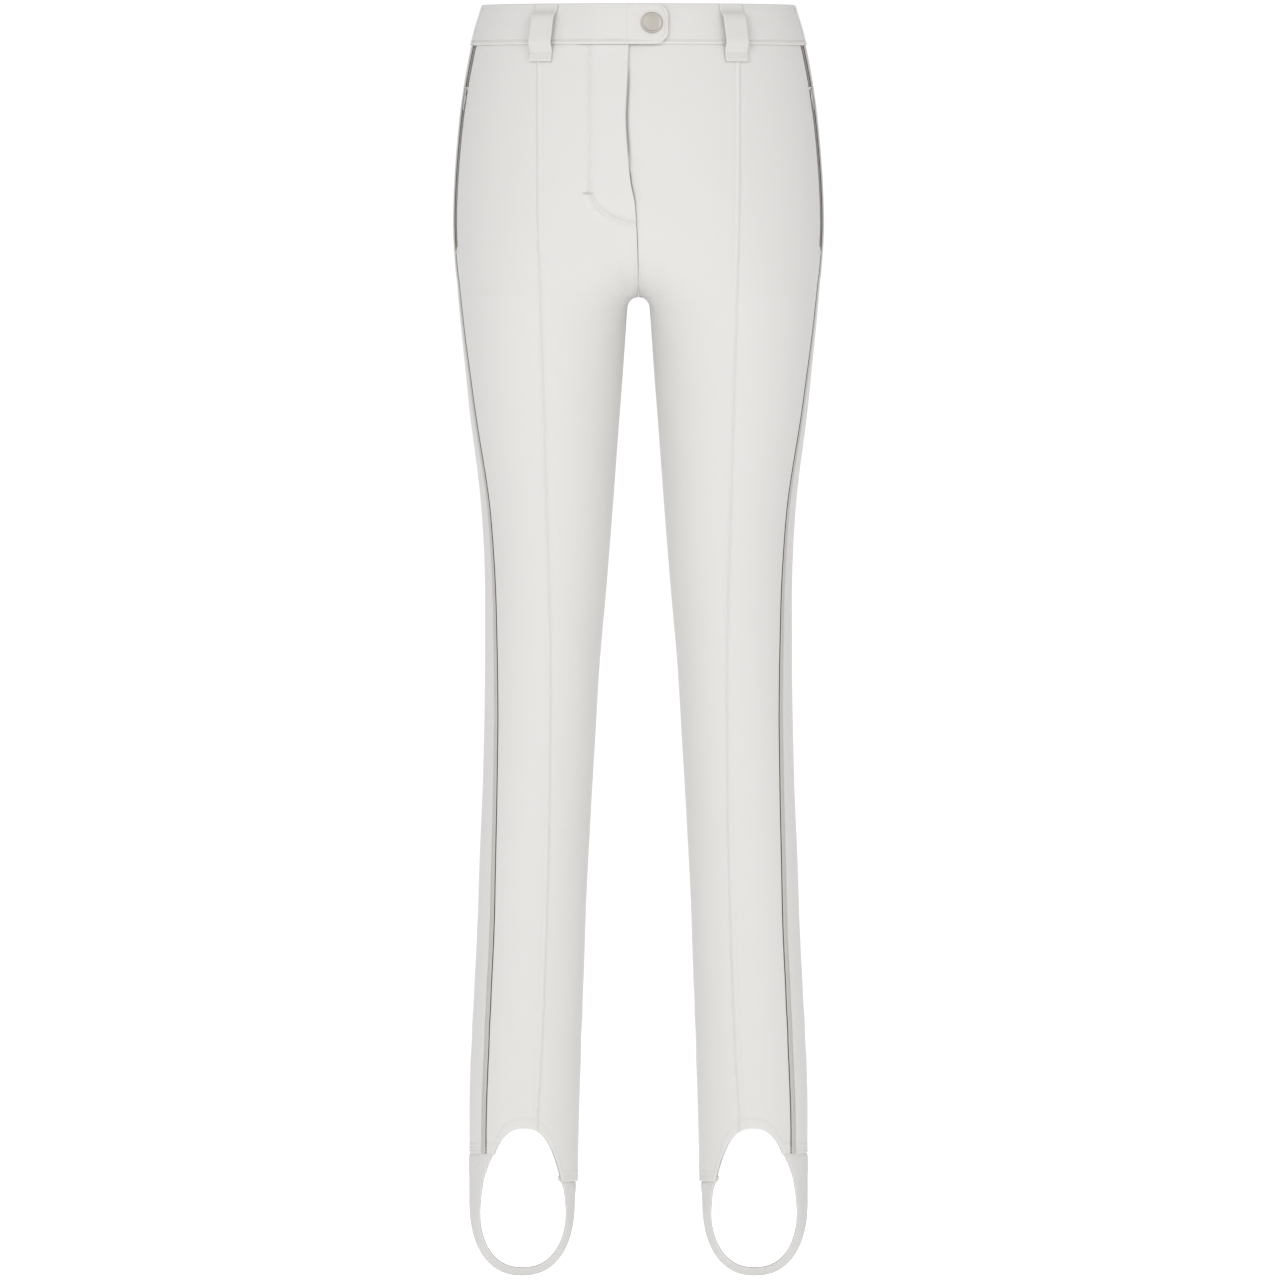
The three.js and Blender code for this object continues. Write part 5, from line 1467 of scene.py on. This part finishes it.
def make_stirrup(side, mirrored):
    first, last = np.linspace(0, 0.02, 6)[:-1], np.linspace(0.98, 1, 6)[1:]
    share = np.concatenate([first, np.linspace(0.02, 0.98, 110), last])
    line = strap_line(share)
    line[:, 2] += 4.0 * (np.exp(-share / 0.012) + np.exp(-(1 - share) / 0.012))
    along = strap_line(np.clip(share + 0.004, 0, 1)) - strap_line(np.clip(share - 0.004, 0, 1))
    along /= np.linalg.norm(along, axis=1, keepdims=True)
    out = np.stack([-along[:, 2], np.zeros(len(share)), along[:, 0]], -1)
    run = np.cumsum(np.linalg.norm(np.diff(line, axis=0, prepend=line[:1]), axis=1))
    from_outer, from_inner = run, run[-1] - run
    flare = FLARE_OUTER * np.exp(-np.clip(from_outer - 4.5, 0, None) / 38)
    half = STRAP_HALF + flare + FLARE_INNER * np.exp(-np.clip(from_inner - 4.5, 0, None) / 15)
    across = np.concatenate([[-1, -0.985, -0.955], np.linspace(-0.9, 0.9, 31), [0.955, 0.985, 1]])
    ends = np.exp(-from_outer / 20) + np.exp(-from_inner / 20)
    half = half[:, None] - 0.8 * ends[:, None] * (across > 0)
    w = half * across
    curl = STRAP_REACH * (1 - np.sqrt(1 - (w / ANKLE_DEPTH) ** 2))
    edge = half - np.abs(w)
    round_off = 0.7 * np.exp(-((edge / 0.6) ** 2))
    ribs = 0.12 * np.cos(2 * np.pi * w / RIB_WIDTH)
    tucked = sum(np.exp(-np.clip(away - 3.5, 0, None) / 1.2) for away in (from_outer, from_inner))
    seams = (FABRIC + 0.25) * tucked[:, None]

    def lay(lift):
        points = line[:, None, :] + out[:, None, :] * lift[..., None]
        points[..., 1] = w
        if mirrored:
            points[..., 0] *= -1
        return points

    outer = lay(ribs - curl - round_off - seams)
    inner = lay(-curl - STRAP_THICK + round_off * 0.6 - seams)
    uv = np.stack([w, np.broadcast_to(run[:, None], w.shape)], -1)
    piece = shell(f"{side}_stirrup_knit", outer, inner, uv)
    start = (0.1, 0.0, -(INNER_HEM_DROP + BEND_START) * MM)
    end = (0.1, 0.0, -(INNER_HEM_DROP + BEND_END) * MM)
    bend = ("pants", f"{side}_stirrup", start, end)
    finish_piece(piece, None, knit_finish(), [f"{side}_stirrup"], blend=bend)
    rows = []
    for level, spread in ((HEM_DROP - 2.2, (-46, 46)), (INNER_HEM_DROP - 2.2, (138, 222))):
        sweep = np.linspace(*spread, 60)
        turned_angle = np.where(sweep > 180, sweep - 360, sweep)
        for gap in (0.0, 2.4):
            rows.append(on_skin(turned_angle, np.full(60, level - gap), np.full(60, 0.08), mirrored))
    hem = np.linspace(-179, 179, 300)
    rows.append(on_skin(hem, hem_at(hem) - 9.0, np.full(300, -0.08), mirrored))
    stitches(f"{side}_hem_stitching", rows)


# ---- Stage -------------------------------------------------------------------------------------

FLOOR_HALF = 6.0
FLOOR_GAP = 0.004
FLOOR_COLOUR = (0.93, 0.93, 0.93)
WORLD_LIGHT = 0.54
WORLD_SEEN = 1.05
CAMERA_AWAY = 30.0
CAMERA_ASIDE = 0.0013
CAMERA_MARGIN = 1.0075
SENSOR_WIDTH = 36.0
# Each light's name, place, width and height in metres, and power in watts.
LIGHTS = (
    ("key", (-2.0, -4.8, 1.6), (2.0, 2.6), 62),
    ("fill", (2.4, -4.8, 1.1), (2.4, 3.0), 42),
    ("rear", (0, 2.6, 1.8), (3.0, 1.5), 30),
)


def stage_finish(name, colour, glow):
    material, g, shader = new_material(name)
    tone = use_group(g, mottle_group(), Vector=object_place(g), Broad=0.4, Fine=3.0)
    g.feed(shader.inputs["Base Color"], g.mix(tone["Tone"], darker(colour, 0.99), (*colour, 1.0)))
    shader.inputs["Roughness"].default_value = 0.9
    shader.inputs["Emission Color"].default_value = (1, 1, 1, 1)
    seen = g.add("ShaderNodeLightPath").outputs["Is Camera Ray"]
    g.feed(shader.inputs["Emission Strength"], g.math("ADD", g.math("MULTIPLY", seen, glow), 0.3))
    return material


def make_floor(floor_level):
    """A plain pale floor; past its edge the world is lit to the same white."""
    mesh = bpy.data.meshes.new("studio floor")
    points = [(x * FLOOR_HALF, y * FLOOR_HALF, floor_level) for x, y in ((-1, -1), (1, -1), (1, 1), (-1, 1))]
    mesh.from_pydata(points, [], [(0, 1, 2, 3)])
    floor = placed("studio floor", mesh)
    floor.data.materials.append(stage_finish("studio paper", FLOOR_COLOUR, colours().glow))


def make_world():
    """Soft light from all round, and plain white where the camera looks past the floor."""
    world = bpy.data.worlds.new("studio")
    world.use_nodes = True
    g = Graph(world.node_tree)
    background = world.node_tree.nodes["Background"]
    background.inputs["Color"].default_value = (1, 1, 1, 1)
    seen = g.add("ShaderNodeLightPath").outputs["Is Camera Ray"]
    strength = g.math("ADD", g.math("MULTIPLY", seen, WORLD_SEEN - WORLD_LIGHT), WORLD_LIGHT)
    g.feed(background.inputs["Strength"], strength)
    bpy.context.scene.world = world


def area_light(name, place, target, size, power):
    lamp = bpy.data.lights.new(name, "AREA")
    lamp.shape = "RECTANGLE"
    lamp.size, lamp.size_y = size
    lamp.energy = power
    light = placed(name, lamp)
    light.location = place
    light.rotation_euler = (Vector(target) - Vector(place)).to_track_quat("-Z", "Y").to_euler()


def make_camera(low, high):
    middle = (low.z + high.z) / 2
    tall = (high.z - low.z) * CAMERA_MARGIN
    lens = bpy.data.cameras.new("camera")
    lens.sensor_width = SENSOR_WIDTH
    lens.lens = SENSOR_WIDTH * CAMERA_AWAY / tall
    lens.clip_end = 3 * CAMERA_AWAY
    camera = placed("camera", lens)
    camera.location = (CAMERA_ASIDE, -CAMERA_AWAY, middle)
    camera.rotation_euler = (math.radians(90), 0, 0)
    bpy.context.scene.camera = camera


# ---- Sizes and colours that a user may change --------------------------------------------------


class PantsSizes(bpy.types.PropertyGroup):
    """Sizes of the surface detail."""

    twill: bpy.props.FloatProperty(
        name="Twill Line Spacing", description="Distance between two diagonal lines of the twill",
        default=0.0011, min=0.0003, max=0.005, precision=5, subtype="DISTANCE", unit="LENGTH",
    )


def colour(name, description, default):
    """One colour that a user may change."""
    return bpy.props.FloatVectorProperty(
        name=name, description=description, subtype="COLOR", size=3, default=default)


class PantsColours(bpy.types.PropertyGroup):
    """Colours of the cloths, trims and stage."""

    cloth: colour("Cloth", "Off-white stretch twill", (0.80, 0.79, 0.77))
    loops: colour("Belt Loops", "Slightly warmer twill of the belt loops", (0.78, 0.765, 0.735))
    lining: colour("Lining", "Facings and pocket bags", (0.80, 0.785, 0.76))
    tape: colour("Zip Tape", "Woven zip tape", (0.84, 0.83, 0.80))
    teeth: colour("Zip Teeth", "Darkened plating of the teeth", (0.6, 0.59, 0.57))
    piping: colour("Piping", "Pale middle of the outseam piping", (0.66, 0.64, 0.60))
    # Painted shade: the near-black colour of the piping's thin edges stands for the shadowed grooves beside
    # its cord.
    piping_groove_shade: colour("Piping Groove Shade", "Thin dark edges of the piping", (0.055, 0.053, 0.05))
    thread: colour("Thread", "Topstitching thread", (0.80, 0.79, 0.77))
    metal: colour("Metal", "Snap, zip teeth, sliders and pulls", (0.52, 0.51, 0.49))
    snap: colour("Snap", "Matt plating of the snap's cap", (0.54, 0.51, 0.465))
    glow: bpy.props.FloatProperty(
        name="Floor Glow", description="How far the studio paper is lit to plain white",
        default=0.9, min=0, max=2)


# ---- Operators ---------------------------------------------------------------------------------

SIDES = (("left", False), ("right", True))


class PANTS_OT_legs(bpy.types.Operator):
    """Front inner, front outer and back panel of each leg"""

    bl_idname = "pants.legs"
    bl_label = "Legs"

    def execute(self, context):
        for side, mirrored in SIDES:
            make_leg(side, mirrored)
        return {"FINISHED"}


class PANTS_OT_piping(bpy.types.Operator):
    """Piping down both outseams"""

    bl_idname = "pants.piping"
    bl_label = "Outseam Piping"

    def execute(self, context):
        for side, mirrored in SIDES:
            make_piping(side, mirrored)
        return {"FINISHED"}


class PANTS_OT_waistband(bpy.types.Operator):
    """Waistband, its facings, the tab and the blank label"""

    bl_idname = "pants.waistband"
    bl_label = "Waistband"

    def execute(self, context):
        make_waistband()
        return {"FINISHED"}


class PANTS_OT_belt_loops(bpy.types.Operator):
    """Five belt loops with their stitching"""

    bl_idname = "pants.belt_loops"
    bl_label = "Belt Loops"

    def execute(self, context):
        make_loops()
        return {"FINISHED"}


class PANTS_OT_snap(bpy.types.Operator):
    """Snap cap, socket, stud and post"""

    bl_idname = "pants.snap"
    bl_label = "Snap Fastener"

    def execute(self, context):
        make_snap()
        return {"FINISHED"}


class PANTS_OT_fly(bpy.types.Operator):
    """Fly zip, facing, shield and topstitching"""

    bl_idname = "pants.fly"
    bl_label = "Fly"

    def execute(self, context):
        make_fly()
        return {"FINISHED"}


class PANTS_OT_pockets(bpy.types.Operator):
    """Side pocket zips and bags"""

    bl_idname = "pants.pockets"
    bl_label = "Pockets"

    def execute(self, context):
        for side, mirrored in SIDES:
            make_pocket(side, mirrored)
        return {"FINISHED"}


class PANTS_OT_stirrups(bpy.types.Operator):
    """Elastic stirrups, hem facings and hem stitching"""

    bl_idname = "pants.stirrups"
    bl_label = "Stirrups and Hems"

    def execute(self, context):
        for side, mirrored in SIDES:
            make_stirrup(side, mirrored)
            make_hem_facing(side, mirrored)
        return {"FINISHED"}


class PANTS_OT_stage(bpy.types.Operator):
    """White floor and surround, soft lights and the camera"""

    bl_idname = "pants.stage"
    bl_label = "Stage"

    def execute(self, context):
        low, high = cad_box
        make_floor(low.z - FLOOR_GAP)
        middle = (0, 0, (low.z + high.z) / 2)
        for name, place, size, watts in LIGHTS:
            area_light(name, place, middle, size, watts)
        make_camera(low, high)
        make_world()
        context.scene.view_settings.view_transform = "Standard"
        return {"FINISHED"}


class PANTS_PT_panel(bpy.types.Panel):
    """Lists the garment's makers"""

    bl_label = "Stirrup Ski Pants"
    bl_idname = "PANTS_PT_panel"
    bl_space_type = "VIEW_3D"
    bl_region_type = "UI"
    bl_category = "Pants"

    def draw(self, context):
        column = self.layout.column()
        column.prop(context.scene.pants_sizes, "twill")
        for name in PantsColours.__annotations__:
            column.prop(context.scene.pants_colours, name)
        for operator in OPERATORS:
            column.operator(operator.bl_idname)


OPERATORS = (
    PANTS_OT_legs, PANTS_OT_piping, PANTS_OT_waistband, PANTS_OT_belt_loops, PANTS_OT_snap,
    PANTS_OT_fly, PANTS_OT_pockets, PANTS_OT_stirrups, PANTS_OT_stage,
)
CLASSES = (PantsSizes, PantsColours, *OPERATORS, PANTS_PT_panel)


def register():
    for cls in CLASSES:
        bpy.utils.register_class(cls)
    bpy.types.Scene.pants_sizes = bpy.props.PointerProperty(type=PantsSizes)
    bpy.types.Scene.pants_colours = bpy.props.PointerProperty(type=PantsColours)


def unregister():
    del bpy.types.Scene.pants_colours
    del bpy.types.Scene.pants_sizes
    for cls in reversed(CLASSES):
        bpy.utils.unregister_class(cls)


def main():
    register()
    for operator in OPERATORS:
        group, name = operator.bl_idname.split(".")
        getattr(getattr(bpy.ops, group), name)()


if __name__ == "__main__":
    main()
